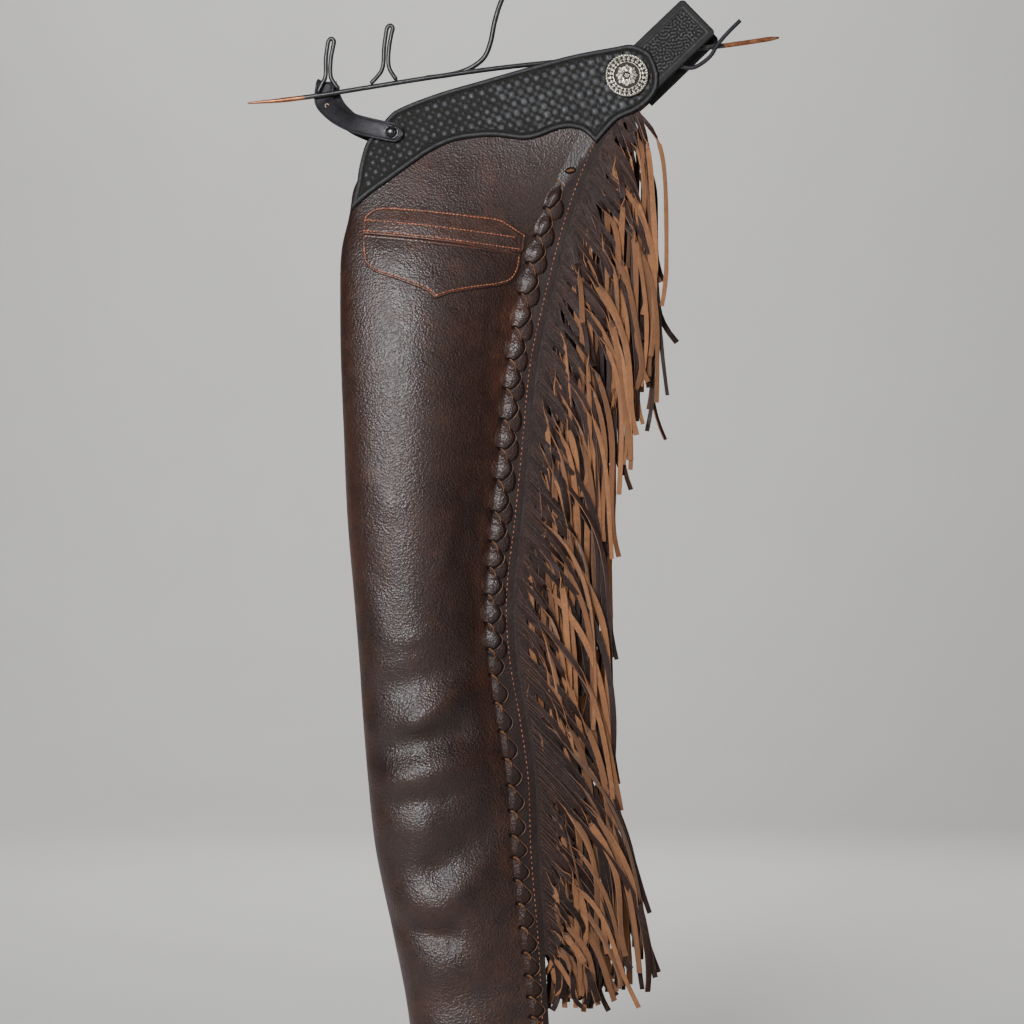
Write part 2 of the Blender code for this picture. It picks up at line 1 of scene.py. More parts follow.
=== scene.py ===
"""Looks of a pair of fringed leather chaps, folded in half on a wire hanger.

Work is done in millimetres as (across, drop, out): across runs to the right, drop is the distance
below the hanger's hook, and out is the distance from the middle plane between the two legs.
"""

import math

import bmesh
import bpy
import numpy as np
from bpy.props import FloatProperty, FloatVectorProperty, IntProperty, PointerProperty
from bpy.types import Operator, Panel, PropertyGroup
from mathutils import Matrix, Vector


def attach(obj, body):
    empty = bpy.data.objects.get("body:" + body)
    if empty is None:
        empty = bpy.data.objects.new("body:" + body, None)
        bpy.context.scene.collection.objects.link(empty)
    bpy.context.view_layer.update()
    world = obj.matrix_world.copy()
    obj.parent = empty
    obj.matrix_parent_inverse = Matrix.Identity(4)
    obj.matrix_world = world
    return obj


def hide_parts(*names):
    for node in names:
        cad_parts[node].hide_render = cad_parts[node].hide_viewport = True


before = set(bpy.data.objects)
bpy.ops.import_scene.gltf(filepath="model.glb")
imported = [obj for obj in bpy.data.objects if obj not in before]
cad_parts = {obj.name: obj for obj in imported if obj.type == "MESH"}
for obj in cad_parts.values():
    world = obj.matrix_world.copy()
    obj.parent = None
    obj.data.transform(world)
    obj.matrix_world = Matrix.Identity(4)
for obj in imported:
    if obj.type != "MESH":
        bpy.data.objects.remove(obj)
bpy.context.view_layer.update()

bl_info = {
    "name": "Fringed Leather Chaps",
    "version": (1, 0, 0),
    "blender": (4, 5, 0),
    "location": "View3D > Sidebar > Chaps",
    "description": "Builds the leather, braid, fringe, conchos and hanger of a pair of chaps",
    "category": "Object",
}

MM = 0.001
SIDES = (("near", 1), ("far", -1))

# Leg: drop, left fold, seam, flange edge, outer face, inner face
LEG = np.array([
    (116, -101, 137, 163, 9, 5), (178, -127, 102, 140, 13, 9), (199, -137, 89, 114, 16, 10),
    (231, -154, 71, 98, 25, 11), (262, -159, 55, 85, 36, 12), (298, -163, 41, 72, 49, 12),
    (337, -171, 29, 61, 64, 11), (388, -172, 17, 49, 78, 10), (450, -171, 6, 36, 88, 9),
    (521, -168, -1, 28, 94, 9), (613, -164, -10, 19, 97, 8), (695, -157, -16, 11, 97, 8),
    (757, -152, -14, 14, 97, 8), (818, -148, -5, 24, 97, 8), (879, -143, 5, 33, 97, 8),
    (951, -135, 10, 36, 95, 8), (1033, -118, 19, 42, 93, 8), (1104, -104, 27, 46, 91, 9),
    (1168, -96, 34, 50, 90, 9)], float)
LEFT, SEAM, EDGE, OUTER, INNER = 1, 2, 3, 4, 5
HEM_DROP = 1168.0
LEG_WALL = 2.2
HALF_GAP = 1.2
SEAM_INSET = 5.0
INNER_TIP_INSET = 3.4
CREST = 0.6
SEAM_SLOPE = 0.06
LEG_TOP = np.array([
    (0, 181), (0.12, 190), (0.25, 204), (0.38, 206), (0.5, 207), (0.62, 214), (0.74, 232),
    (0.87, 258), (1, 284), (1.25, 340), (1.5, 366), (1.75, 326), (1.9, 268), (2, 181)], float)

# Folds: from (across, drop) to (across, drop), half width, height (below 0 is a trough)
FOLDS = np.array([
    (-140, 792, -32, 754, 20, -4.0), (-92, 819, -22, 770, 15, 4.0), (-148, 852, -50, 826, 16, -4.5),
    (-118, 877, -18, 854, 17, 4.5), (-130, 922, -88, 924, 20, 3.0), (-70, 962, -20, 930, 18, -4.0),
    (-44, 985, 0, 950, 15, 3.5), (-106, 1002, -66, 1000, 18, 3.5),
    (-118, 1024, -60, 1034, 12, -3.5)], float)

# Smaller creases that only the finished leather shows
CREASES = np.array([
    (1, 467, -8, 549, 5, 3.0), (-8, 549, -25, 640, 5.5, 3.2), (-25, 640, -26, 692, 6, 2.8),
    (-37, 557, -47, 653, 9, -2.4), (-56, 640, -66, 668, 10, 2.0), (-105, 477, -77, 480, 1.9, -0.6),
    (-77, 480, -43, 493, 1.9, -0.6), (-105, 481, -44, 497, 3, 0.5), (0, 389, -2, 439, 2.2, 0.8),
    (-6, 392, -9, 436, 2.2, -0.7), (-12, 396, -14, 440, 2.4, 0.6), (-19, 400, -20, 446, 2.4, -0.5),
    (-70, 396, -46, 414, 2.3, 0.5), (-62, 390, -36, 410, 2.3, -0.5), (-52, 388, -26, 406, 2.3, 0.5),
    (-56, 775, -33, 792, 3, 1.0), (-60, 770, -30, 781, 3, -0.7), (-110, 1012, -72, 1026, 3, 1.0),
    (-108, 1022, -66, 1037, 2.6, -0.9), (-104, 1028, -62, 1042, 2.6, 0.8),
    (-96, 735, -40, 722, 9, 1.6), (-120, 748, -60, 740, 8, -1.4), (-132, 838, -84, 842, 6, 1.3),
    (-60, 892, -14, 872, 7, -1.6), (-30, 905, 0, 890, 6, 1.4), (-112, 900, -62, 892, 8, -1.5),
    (-96, 950, -48, 956, 9, 1.4), (-90, 1068, -30, 1058, 14, 1.8), (-60, 1100, 6, 1082, 16, -1.8),
    (-84, 1132, -10, 1126, 12, 1.5), (-150, 560, -120, 600, 14, 1.5), (-155, 640, -128, 676, 14, -1.4),
    (-140, 700, -120, 740, 12, 1.6), (-30, 720, -14, 742, 6, -1.5), (-22, 800, -4, 812, 5, -1.3)],
    float)

YOKE_UPPER = [(-160, 292), (-155, 270), (-152, 247), (-145, 223), (-129, 203), (-116, 190),
              (-75, 173), (-28, 159), (20, 145), (67, 132), (114, 123), (126, 121), (138, 124),
              (148, 131), (153, 142), (156, 151)]
YOKE_LOWER = [(-160, 296), (-142, 280), (-123, 266), (-99, 248), (-81, 235), (-66, 227), (-52, 222),
              (-33, 219), (-14, 218), (5, 220), (16, 221), (31, 218), (48, 211), (61, 208),
              (71, 209), (79, 212), (91, 224), (102, 211), (114, 199), (133, 190), (148, 178),
              (155, 166), (156, 158)]
YOKE_TIP = 16
PANEL_LIFT = 1.1
YOKE_THICK = 3.4
POCKET_TOP = [(-148, 309), (-146, 302), (-133, 294), (-101, 295), (-70, 298), (-40, 301),
              (-10, 304), (4, 311), (17, 319)]
BAND_LINE = [(-148, 322), (-101, 327), (-54, 332), (12, 338)]
BAND_END = (17, 323)
POCKET_BOTTOM = [(-148, 336), (-147, 345), (-144, 354), (-134, 362), (-117, 368), (-101, 374),
                 (-84, 381), (-74, 389), (-61, 384), (-49, 381), (-30, 377), (-10, 373),
                 (3, 367), (10, 355), (12, 343)]
POCKET_TIP = 7
POCKET_THICK = 1.6
BELT_START = (128.0, 158.0)
BELT_END = (198.5, 90.0)
BELT_WIDTH = 50.0
BELT_THICK = 3.0
FAR_BELT_SLIP = (5.0, 5.5)
CONCHO_AT = (123.0, 154.0)
CONCHO_RADIUS = 22.3
RIVET_AT = (-120.0, 214.0)

# Slit braid: where each lobe starts
BITES = [262, 291, 320, 348, 380, 415, 448, 478, 510, 540, 572, 605, 635, 662, 690, 719, 745,
         772, 800, 829, 857, 884, 910, 935, 957, 980, 1004, 1028, 1053, 1076, 1098, 1118, 1140]
TOP_SLOT = (64.5, 252.0)
LOW_BRAID = 740

FRINGE = np.array([
    (180, 205, 30), (230, 225, 60), (290, 240, 82), (385, 250, 66), (490, 265, 76), (600, 275, 90),
    (700, 285, 106), (800, 285, 124), (860, 255, 126), (950, 165, 100), (1056, 62, 44)], float)
FIRST_ROOT = 182.0
LAST_ROOT = 1056.0

STRAP_NEAR = [(-108, 216, 29.0), (-122, 213.5, 28.6), (-141, 209, 25.2), (-160, 203, 18.0),
              (-176, 194, 8), (-188, 183, 0), (-192, 175, -4.6)]
STRAP_FOLD_AT = (-190.5, 161, -8.0)
STRAP_FOLD_RADIUS = 3.4
STRAP_FAR = [(-183, 176, -11.4), (-175, 188, -14.5), (-160, 200, -20.0), (-141, 208, -25.4),
             (-122, 213.5, -28.6), (-108, 216, -29.0)]
STRAP_WIDE = 20.0
STRAP_THICK = 2.4

LACE = [(165, 134, 4.6), (172, 139, 4.8), (181, 143, 4.9), (192, 144, 5.3), (202, 139, 5.8),
        (211, 131, 6.1), (217, 121, 6.3), (228, 108, 6.2), (241, 95, 5.6)]
LACE_RADIUS = 2.2

ROD = [(-270, 180, 0), (-235, 177, 0), (-197, 172, 0), (-141, 163, 0), (-68, 151.5, 0),
       (12, 141, 0), (116, 131, 0), (218, 121, 0), (281, 112, 0)]
ROD_RADIUS = 2.6
STEM = [(-84, 152.5, -5.6), (-66, 150.5, -5.6), (-48, 146.5, -4.8), (-34, 140, -3.4),
        (-24, 131, -1.6), (-18, 116, 0), (-14, 96, 0), (-7, 74, 0), (4, 54, 0), (13, 36, 0)]
STEM_RADIUS = 2.7
HOOK_RADIUS = 16.0
HOOK_START = -0.35
HOOK_TURN = 3.9
PRONG_FRONT = [(-197, 167.4, 0), (-193.5, 160, 0), (-190, 153, 0), (-189.4, 134, 0),
               (-187.6, 120, 0), (-186.6, 115.4, 0), (-183.6, 112.8, 0), (-181, 115.6, 0),
               (-181.8, 121, 0), (-184.2, 134, 0), (-184.4, 152, 0), (-181, 159, 0),
               (-176.8, 164.2, 0)]
PRONG_MIDDLE = [(-141.6, 158.5, 0), (-136, 152.5, 0), (-131.4, 146, 0), (-129.6, 138, 0),
                (-128.8, 122, 0), (-126.6, 106, 0), (-125.6, 101.6, 0), (-122.4, 99, 0),
                (-119.8, 101.8, 0), (-121, 107, 0), (-123.6, 122, 0), (-124.4, 138, 0),
                (-122.6, 145.5, 0), (-116.8, 154.6, 0)]
PRONG_RADIUS = 2.3


class ChapsSizes(PropertyGroup):
    """Sizes of the parts that a maker would change."""

    strands: IntProperty(name="Strands", description="Fringe strands on each leg",
                         default=200, min=20, max=260)
    strand_width: FloatProperty(name="Strand Width", description="Width of a fringe strand",
                                default=0.0060, min=0.003, max=0.012, unit="LENGTH")
    strand_thickness: FloatProperty(name="Strand Thickness", description="Thickness of a strand",
                                    default=0.0014, min=0.0005, max=0.003, unit="LENGTH")
    stitch_pitch: FloatProperty(name="Stitch Pitch", description="Distance between stitches",
                                default=0.0036, min=0.002, max=0.01, unit="LENGTH")
    stamp_pitch: FloatProperty(name="Stamp Pitch", description="Distance between basket stamps",
                               default=0.0098, min=0.005, max=0.02, unit="LENGTH")
    light_power: FloatProperty(name="Key Light", description="Power of the large soft light",
                               default=70.0, min=1.0, max=500.0, unit="POWER")


class ChapsColours(PropertyGroup):
    """Colours of the leathers, the thread and the metals."""

    leather: FloatVectorProperty(name="Leg Leather", description="Chocolate leather",
                                 default=(0.020, 0.0080, 0.0058), min=0, max=1, subtype="COLOR")
    leather_worn: FloatVectorProperty(name="Worn Leather", description="Rubbed leg leather",
                                      default=(0.085, 0.029, 0.015), min=0, max=1, subtype="COLOR")
    suede: FloatVectorProperty(name="Suede", description="Flesh side of the fringe",
                               default=(0.32, 0.133, 0.052), min=0, max=1, subtype="COLOR")
    black: FloatVectorProperty(name="Black Leather", description="Yokes, belts and straps",
                               default=(0.0085, 0.0085, 0.0090), min=0, max=1, subtype="COLOR")
    thread: FloatVectorProperty(name="Thread", description="Rust coloured thread",
                                default=(0.40, 0.125, 0.052), min=0, max=1, subtype="COLOR")
    silver: FloatVectorProperty(name="Silver", description="Antique silver of the conchos",
                                default=(0.48, 0.435, 0.355), min=0, max=1, subtype="COLOR")


# Places on the leg

def smooth_read(keys, values, at):
    """Read a table along a smooth curve through its rows."""
    at = np.asarray(at, float)
    slope = np.empty(len(keys))
    slope[1:-1] = (values[2:] - values[:-2]) / (keys[2:] - keys[:-2])
    slope[0] = (values[1] - values[0]) / (keys[1] - keys[0])
    slope[-1] = (values[-1] - values[-2]) / (keys[-1] - keys[-2])
    k = np.clip(np.searchsorted(keys, at, side="right") - 1, 0, len(keys) - 2)
    span = keys[k + 1] - keys[k]
    t = np.clip((at - keys[k]) / span, 0.0, 1.0)
    value = (2 * t**3 - 3 * t**2 + 1) * values[k] + (3 * t**2 - 2 * t**3) * values[k + 1]
    value = value + ((t**3 - 2 * t**2 + t) * slope[k] + (t**3 - t**2) * slope[k + 1]) * span
    return value + np.minimum(at - keys[0], 0.0) * slope[0]


def leg(column, drop):
    return smooth_read(LEG[:, 0], LEG[:, column], drop)


def seam_out(drop):
    return 11.0 + SEAM_SLOPE * (np.asarray(drop, float) - 178.0)


def flange_edge(drop):
    return leg(EDGE, drop) - 5.6


def ease(t):
    t = np.clip(t, 0.0, 1.0)
    return t * t * (3.0 - 2.0 * t)


def fold_height(across, drop, folds):
    """Sum of the ridges and troughs at each place."""
    total = np.zeros(np.broadcast(across, drop).shape)
    for x0, y0, x1, y1, width, high in folds:
        along = np.array((x1 - x0, y1 - y0))
        share = ((across - x0) * along[0] + (drop - y0) * along[1]) / (along @ along)
        share = np.clip(share, 0.0, 1.0)
        away = np.hypot(across - x0 - along[0] * share, drop - y0 - along[1] * share) / width
        total += high * np.exp(-away * away)
    return total


def shell(turn, drop, inset=0.0, creased=False):
    """Places on a leg's outer face, or its inner one with inset. Turn 1 is the left fold."""
    turn, drop = np.broadcast_arrays(np.asarray(turn, float), np.asarray(drop, float))
    behind = turn > 1.0
    t = np.where(behind, 2.0 - turn, turn)
    sign = np.where(behind, -1.0, 1.0)
    tip = leg(SEAM, drop) - SEAM_INSET - (INNER_TIP_INSET if inset else 0.0)
    width = tip - leg(LEFT, drop) - inset
    outer, inner = leg(OUTER, drop), leg(INNER, drop)
    face = np.where(behind, inner + inset, outer - inset)
    start = seam_out(drop) + (0.0 if inset else sign * LEG_WALL / 2)
    by_seam = t < 0.5
    angle = np.pi * (np.maximum(t, 0.5) - 0.5)
    lean = np.where(by_seam, np.sin(np.pi * np.minimum(t, 0.5)), np.cos(angle))
    share = np.where(by_seam, CREST * 2 * t, CREST + (1 - CREST) * np.sin(angle))
    round_fold = (outer + inner) / 2 + sign * ((outer - inner) / 2 - inset) * lean
    out = np.where(by_seam, start + (face - start) * lean, round_fold)
    across = tip - width * share
    out = out + sign * lean * fold_height(across, drop, FOLDS)
    if creased:
        clear = ease((drop - 384.0) / 14.0)
        away = ease(t / 0.06)
        small = fold_height(across, drop, CREASES) + 0.65 * fold_height(across, drop, FOLDS)
        out = out + sign * np.maximum(lean, 0.3) * clear * away * small
        out = np.where(behind, np.maximum(out, HALF_GAP + inset), out)
    return np.stack((across, drop, out), -1)


def leg_turn(across, drop):
    """The turn at which a place seen from the front lies, and whether it is on the leg."""
    tip = leg(SEAM, drop) - SEAM_INSET
    share = (tip - across) / (tip - leg(LEFT, drop))
    rise = np.clip((share - CREST) / (1 - CREST), 0.0, 0.99)
    turn = np.where(share < CREST, np.maximum(share, 0.0) * 0.5 / CREST,
                    0.5 + np.arcsin(rise) / np.pi)
    return turn, share > 0.0


def over_leg(across, drop, lift):
    """Places above the leg's face, seen from the front, and the way that the face looks there."""
    across, drop, lift = np.broadcast_arrays(*(np.asarray(v, float) for v in (across, drop, lift)))
    turn, on_leg = leg_turn(across, drop)
    here = shell(turn, drop)
    around = shell(np.maximum(turn + 0.01, 0.02), drop) - shell(np.maximum(turn - 0.01, 0.0), drop)
    down = shell(turn, drop + 1.0) - shell(turn, drop - 1.0)
    normal = np.cross(around, down)
    normal /= np.linalg.norm(normal, axis=-1, keepdims=True)
    normal = np.where(normal[..., 2:] < 0, -normal, normal)
    flat = np.stack((across, drop, seam_out(drop) + LEG_WALL / 2), -1)
    normal = np.where(on_leg[..., None], normal, (0.0, 0.0, 1.0))
    here = np.where(on_leg[..., None], here, flat)
    return here + normal * lift[..., None], normal


def face_out(across, drop):
    """How far out the leg's face or its flange is, with a soft inner corner between them."""
    turn, on_leg = leg_turn(across, drop)
    plane = seam_out(drop) + LEG_WALL / 2
    rise = np.where(on_leg, shell(turn, drop, creased=True)[..., 2] - plane, 0.0)
    return plane + np.sqrt(rise * rise + 0.8)


# Lines and meshes

def smooth_line(points, count, corners=()):
    """Evenly spaced points along a smooth curve through the given ones, sharp at corners."""
    points = np.asarray(points, float)
    stops = [0, *corners, len(points) - 1]
    pieces = []
    for first, last in zip(stops, stops[1:]):
        part = points[first:last + 1]
        keys = np.concatenate(([0.0], np.cumsum(np.linalg.norm(np.diff(part, axis=0), axis=1))))
        if len(part) < 3:
            fine = part
        else:
            at = np.linspace(0.0, keys[-1], 20 * len(part))
            fine = np.stack([smooth_read(keys, part[:, i], at) for i in range(part.shape[1])], -1)
        pieces.append(fine if not pieces else fine[1:])
    fine = np.concatenate(pieces)
    run = np.concatenate(([0.0], np.cumsum(np.linalg.norm(np.diff(fine, axis=0), axis=1))))
    at = np.linspace(0.0, run[-1], count)
    return np.stack([np.interp(at, run, fine[:, i]) for i in range(fine.shape[1])], -1)


def line_length(points):
    return float(np.linalg.norm(np.diff(points, axis=0), axis=1).sum())


def edge_distance(across, drop, outline):
    """Distance from each place to a closed outline."""
    nearest = np.full(across.shape, 1e9)
    for (x0, y0), (x1, y1) in zip(outline, np.roll(outline, -1, axis=0)):
        dx, dy = x1 - x0, y1 - y0
        share = np.clip(((across - x0) * dx + (drop - y0) * dy) / (dx * dx + dy * dy + 1e-9), 0, 1)
        nearest = np.minimum(nearest, np.hypot(across - x0 - dx * share, drop - y0 - dy * share))
    return nearest


def grid_faces(rows, columns, closed=False):
    """Quads of a grid whose points are numbered row by row."""
    row = np.arange(rows - 1)[:, None]
    column = np.arange(columns if closed else columns - 1)[None, :]
    a = row * columns + column
    b = row * columns + (column + 1) % columns
    return np.stack((a, b, b + columns, a + columns), -1).reshape(-1, 4)


class Build:
    """Points and faces of one piece, gathered from its parts."""

    def __init__(self):
        self.points, self.faces, self.slots, self.tones, self.wear_and_shade_values = [], [], [], [], []
        self.count = 0

    def add(self, points, faces, slot=0, tone=0.5, wear=0.0):
        points = np.asarray(points, float).reshape(-1, 3)
        self.points.append(points)
        self.tones.append(np.broadcast_to(np.ravel(tone), len(points)))
        self.wear_and_shade_values.append(np.broadcast_to(np.ravel(wear), len(points)))
        for face in (faces.tolist() if isinstance(faces, np.ndarray) else faces):
            self.faces.append([i + self.count for i in face])
        slots = np.broadcast_to(np.ravel(slot), len(faces))
        self.slots.append(slots)
        self.count += len(points)
        return self

    def make(self, name, finishes, side=1, sharp=None):
        """Make the object, with its faces looking outwards and its tone and its wear and painted shade
        stored.
        """
        points = np.concatenate(self.points)
        placed = np.column_stack((points[:, 0], -points[:, 2] * side, -points[:, 1])) * MM
        mesh = bpy.data.meshes.new(name)
        mesh.from_pydata(placed.tolist(), [], self.faces)
        mesh.polygons.foreach_set("material_index", np.concatenate(self.slots).astype(np.int32))
        shape = bmesh.new()
        shape.from_mesh(mesh)
        bmesh.ops.recalc_face_normals(shape, faces=shape.faces)
        shape.to_mesh(mesh)
        shape.free()
        for label, values in (("tone", self.tones), ("wear", self.wear_and_shade_values)):
            layer = mesh.attributes.new(label, "FLOAT", "POINT")
            layer.data.foreach_set("value", np.concatenate(values).astype(np.float32))
        mesh.shade_smooth()
        if sharp is not None:
            mesh.set_sharp_from_angle(angle=math.radians(sharp))
        for finish in finishes:
            mesh.materials.append(finish)
        thing = bpy.data.objects.new(name, mesh)
        bpy.context.scene.collection.objects.link(thing)
        if not len(mesh.polygons):
            raise RuntimeError(f"{name} has no faces")
        return thing


def settle(thing, slot, *nodes):
    """Hang a finished piece on the body in place of its CAD nodes."""
    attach(thing, "root")
    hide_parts(*nodes)
    return thing


def frames_along(route, normal=(0.0, 0.0, 1.0)):
    """Directions along a route, with the sideways and outward ones that go with them."""
    along = np.gradient(route, axis=0)
    along /= np.linalg.norm(along, axis=1, keepdims=True)
    normal = np.broadcast_to(np.asarray(normal, float), route.shape)
    wide = np.cross(along, normal)
    wide /= np.linalg.norm(wide, axis=1, keepdims=True)
    thick = np.cross(wide, along)
    return along, wide, thick


def add_tube(build, route, radius, sides=10, normal=(0.0, 0.0, 1.0), **kind):
    """Add a round tube with rounded ends along a route."""
    route = np.asarray(route, float)
    radius = np.broadcast_to(np.asarray(radius, float), len(route))
    along, wide, thick = frames_along(route, normal)
    first = [route[0] - along[0] * radius[0] * f for f in (0.95, 0.6)]
    last = [route[-1] + along[-1] * radius[-1] * f for f in (0.6, 0.95)]
    route = np.concatenate((first, route, last))
    radius = np.concatenate(((radius[0] * 0.25, radius[0] * 0.8), radius,
                             (radius[-1] * 0.8, radius[-1] * 0.25)))
    wide = np.concatenate((wide[:1], wide[:1], wide, wide[-1:], wide[-1:]))
    thick = np.concatenate((thick[:1], thick[:1], thick, thick[-1:], thick[-1:]))
    angle = np.linspace(0, 2 * np.pi, sides, endpoint=False)
    ring = wide[:, None] * np.cos(angle)[None, :, None] + thick[:, None] * np.sin(angle)[None, :, None]
    points = route[:, None] + ring * radius[:, None, None]
    rows = len(route)
    faces = grid_faces(rows, sides, closed=True).tolist()
    faces.append(list(range(sides)))
    faces.append(list(range((rows - 1) * sides, rows * sides)))
    build.add(points, faces, **kind)


def add_ribbon(build, route, normals, profile, slots=0, tone=0.5, wear=0.0):
    """Sweep a closed profile of (sideways, outward) points along a route."""
    along, wide, thick = frames_along(route, normals)
    profile = np.asarray(profile, float)
    if profile.ndim == 2:
        profile = np.broadcast_to(profile, (len(route), *profile.shape))
    points = (route[:, None] + wide[:, None] * profile[..., :1] + thick[:, None] * profile[..., 1:])
    rows, columns = profile.shape[:2]
    faces = grid_faces(rows, columns, closed=True).tolist()
    face_slots = list(np.tile(np.broadcast_to(slots, columns), rows - 1))
    faces += [list(range(columns)), list(range((rows - 1) * columns, rows * columns))]
    tone = np.broadcast_to(np.reshape(tone, (-1, 1)) if np.ndim(tone) == 1 else tone, (rows, columns))
    wear = np.broadcast_to(wear, (rows, columns))
    build.add(points, faces, slot=face_slots + [face_slots[0]] * 2, tone=tone, wear=wear)


def add_stitches(build, line, normals, pitch, long, wide, slot=0):
    """Add a row of small rounded stitches along a line."""
    run = np.concatenate(([0.0], np.cumsum(np.linalg.norm(np.diff(line, axis=0), axis=1))))
    at = np.arange(pitch / 2, run[-1], pitch)
    spot = np.stack([np.interp(at, run, line[:, i]) for i in range(3)], -1)
    ahead = np.stack([np.interp(at + 0.4, run, line[:, i]) for i in range(3)], -1)
    back = np.stack([np.interp(at - 0.4, run, line[:, i]) for i in range(3)], -1)
    along = ahead - back
    along /= np.linalg.norm(along, axis=1, keepdims=True)
    up = np.stack([np.interp(at, run, normals[:, i]) for i in range(3)], -1)
    side = np.cross(along, up)
    side /= np.linalg.norm(side, axis=1, keepdims=True)
    rings = [(-1.0, 0.35), (-0.6, 0.85), (0.0, 1.0), (0.6, 0.85), (1.0, 0.35)]
    angle = np.linspace(0, 2 * np.pi, 6, endpoint=False)
    cell = grid_faces(len(rings), 6, closed=True).tolist()
    cell += [list(range(6)), list(range(24, 30))]
    points, faces = [], []
    for i in range(len(at)):
        for k, (reach, share) in enumerate(rings):
            middle = spot[i] + along[i] * reach * long / 2 + up[i] * wide * 0.15 * (1 - abs(reach))
            for a in angle:
                points.append(middle + (side[i] * math.cos(a) + up[i] * math.sin(a) * 0.8)
                              * wide / 2 * share)
        faces += [[n + i * 30 for n in face] for face in cell]
    build.add(points, faces, slot=slot, tone=np.repeat(np.random.default_rng(5).random(len(at)), 30))


# Materials

class Nodes:
    """A material being put together from shader nodes."""

    def __init__(self, name):
        self.material = bpy.data.materials.new(name)
        self.material.use_nodes = True
        self.tree = self.material.node_tree
        self.shader = self.tree.nodes["Principled BSDF"]
        self.place = self.add("ShaderNodeTexCoord").outputs["Object"]

    def add(self, kind, **settings):
        node = self.tree.nodes.new(kind)
        for key, value in settings.items():
            setattr(node, key, value)
        return node

    def link(self, source, target):
        self.tree.links.new(source, target)

    def noise(self, scale, detail=3.0, rough=0.55, stretch=None, distort=0.0):
        node = self.add("ShaderNodeTexNoise")
        node.inputs["Scale"].default_value = scale
        node.inputs["Detail"].default_value = detail
        node.inputs["Roughness"].default_value = rough
        node.inputs["Distortion"].default_value = distort
        place = self.place
        if stretch:
            mapping = self.add("ShaderNodeMapping")
            mapping.inputs["Scale"].default_value = stretch
            self.link(place, mapping.inputs["Vector"])
            place = mapping.outputs["Vector"]
        self.link(place, node.inputs["Vector"])
        return node.outputs["Fac"]

    def cells(self, scale, feature="F1", warp=None):
        node = self.add("ShaderNodeTexVoronoi", feature=feature)
        node.inputs["Scale"].default_value = scale
        place = self.place
        if warp:
            bend = self.add("ShaderNodeTexNoise")
            bend.inputs["Scale"].default_value = warp[0]
            self.link(place, bend.inputs["Vector"])
            mix = self.add("ShaderNodeMix", data_type="VECTOR")
            mix.inputs[0].default_value = warp[1]
            self.link(place, mix.inputs[4])
            self.link(bend.outputs["Color"], mix.inputs[5])
            place = mix.outputs[1]
        self.link(place, node.inputs["Vector"])
        return node.outputs["Distance"]

    def spread(self, value, low, high, to_low=0.0, to_high=1.0):
        node = self.add("ShaderNodeMapRange")
        node.inputs["From Min"].default_value = low
        node.inputs["From Max"].default_value = high
        node.inputs["To Min"].default_value = to_low
        node.inputs["To Max"].default_value = to_high
        self.link(value, node.inputs["Value"])
        return node.outputs["Result"]

    def sums(self, first, second, operation="ADD", factor=None):
        node = self.add("ShaderNodeMath", operation=operation)
        self.link(first, node.inputs[0])
        if isinstance(second, (int, float)):
            node.inputs[1].default_value = second
        else:
            self.link(second, node.inputs[1])
        if factor is not None:
            node.inputs[2].default_value = factor
        return node.outputs["Value"]

    def value(self, name):
        return self.add("ShaderNodeAttribute", attribute_name=name).outputs["Fac"]

    def blend(self, factor, first, second, mode="MIX"):
        node = self.add("ShaderNodeMix", data_type="RGBA", blend_type=mode)
        if isinstance(factor, (int, float)):
            node.inputs[0].default_value = factor
        else:
            self.link(factor, node.inputs[0])
        for socket, colour in ((node.inputs[6], first), (node.inputs[7], second)):
            if isinstance(colour, (tuple, list)):
                socket.default_value = (*colour[:3], 1.0)
            else:
                self.link(colour, socket)
        return node.outputs[2]

    def relief(self, height, distance, strength=1.0, under=None):
        node = self.add("ShaderNodeBump")
        if isinstance(strength, (int, float)):
            node.inputs["Strength"].default_value = strength
        else:
            self.link(strength, node.inputs["Strength"])
        node.inputs["Distance"].default_value = distance
        self.link(height, node.inputs["Height"])
        if under:
            self.link(under, node.inputs["Normal"])
        return node.outputs["Normal"]

    def finish(self, colour, roughness, normal=None, **fixed):
        self.link(colour, self.shader.inputs["Base Color"])
        if isinstance(roughness, (int, float)):
            self.shader.inputs["Roughness"].default_value = roughness
        else:
            self.link(roughness, self.shader.inputs["Roughness"])
        if normal:
            self.link(normal, self.shader.inputs["Normal"])
        for key, value in fixed.items():
            self.shader.inputs[key.replace("_", " ")].default_value = value
        return self.material


def shade(colour, factor):
    return tuple(min(1.0, c * factor) for c in colour[:3])


def once(name, maker):
    """Return the material, made the first time that it is asked for."""
    found = bpy.data.materials.get(name)
    return found if found else maker(name)


def leg_leather(name):
    return crackled_leather(name, 0.52)


def flange_leather(name):
    """The same leather where it lies flat and dull beside the seam."""
    return crackled_leather(name, 0.20)


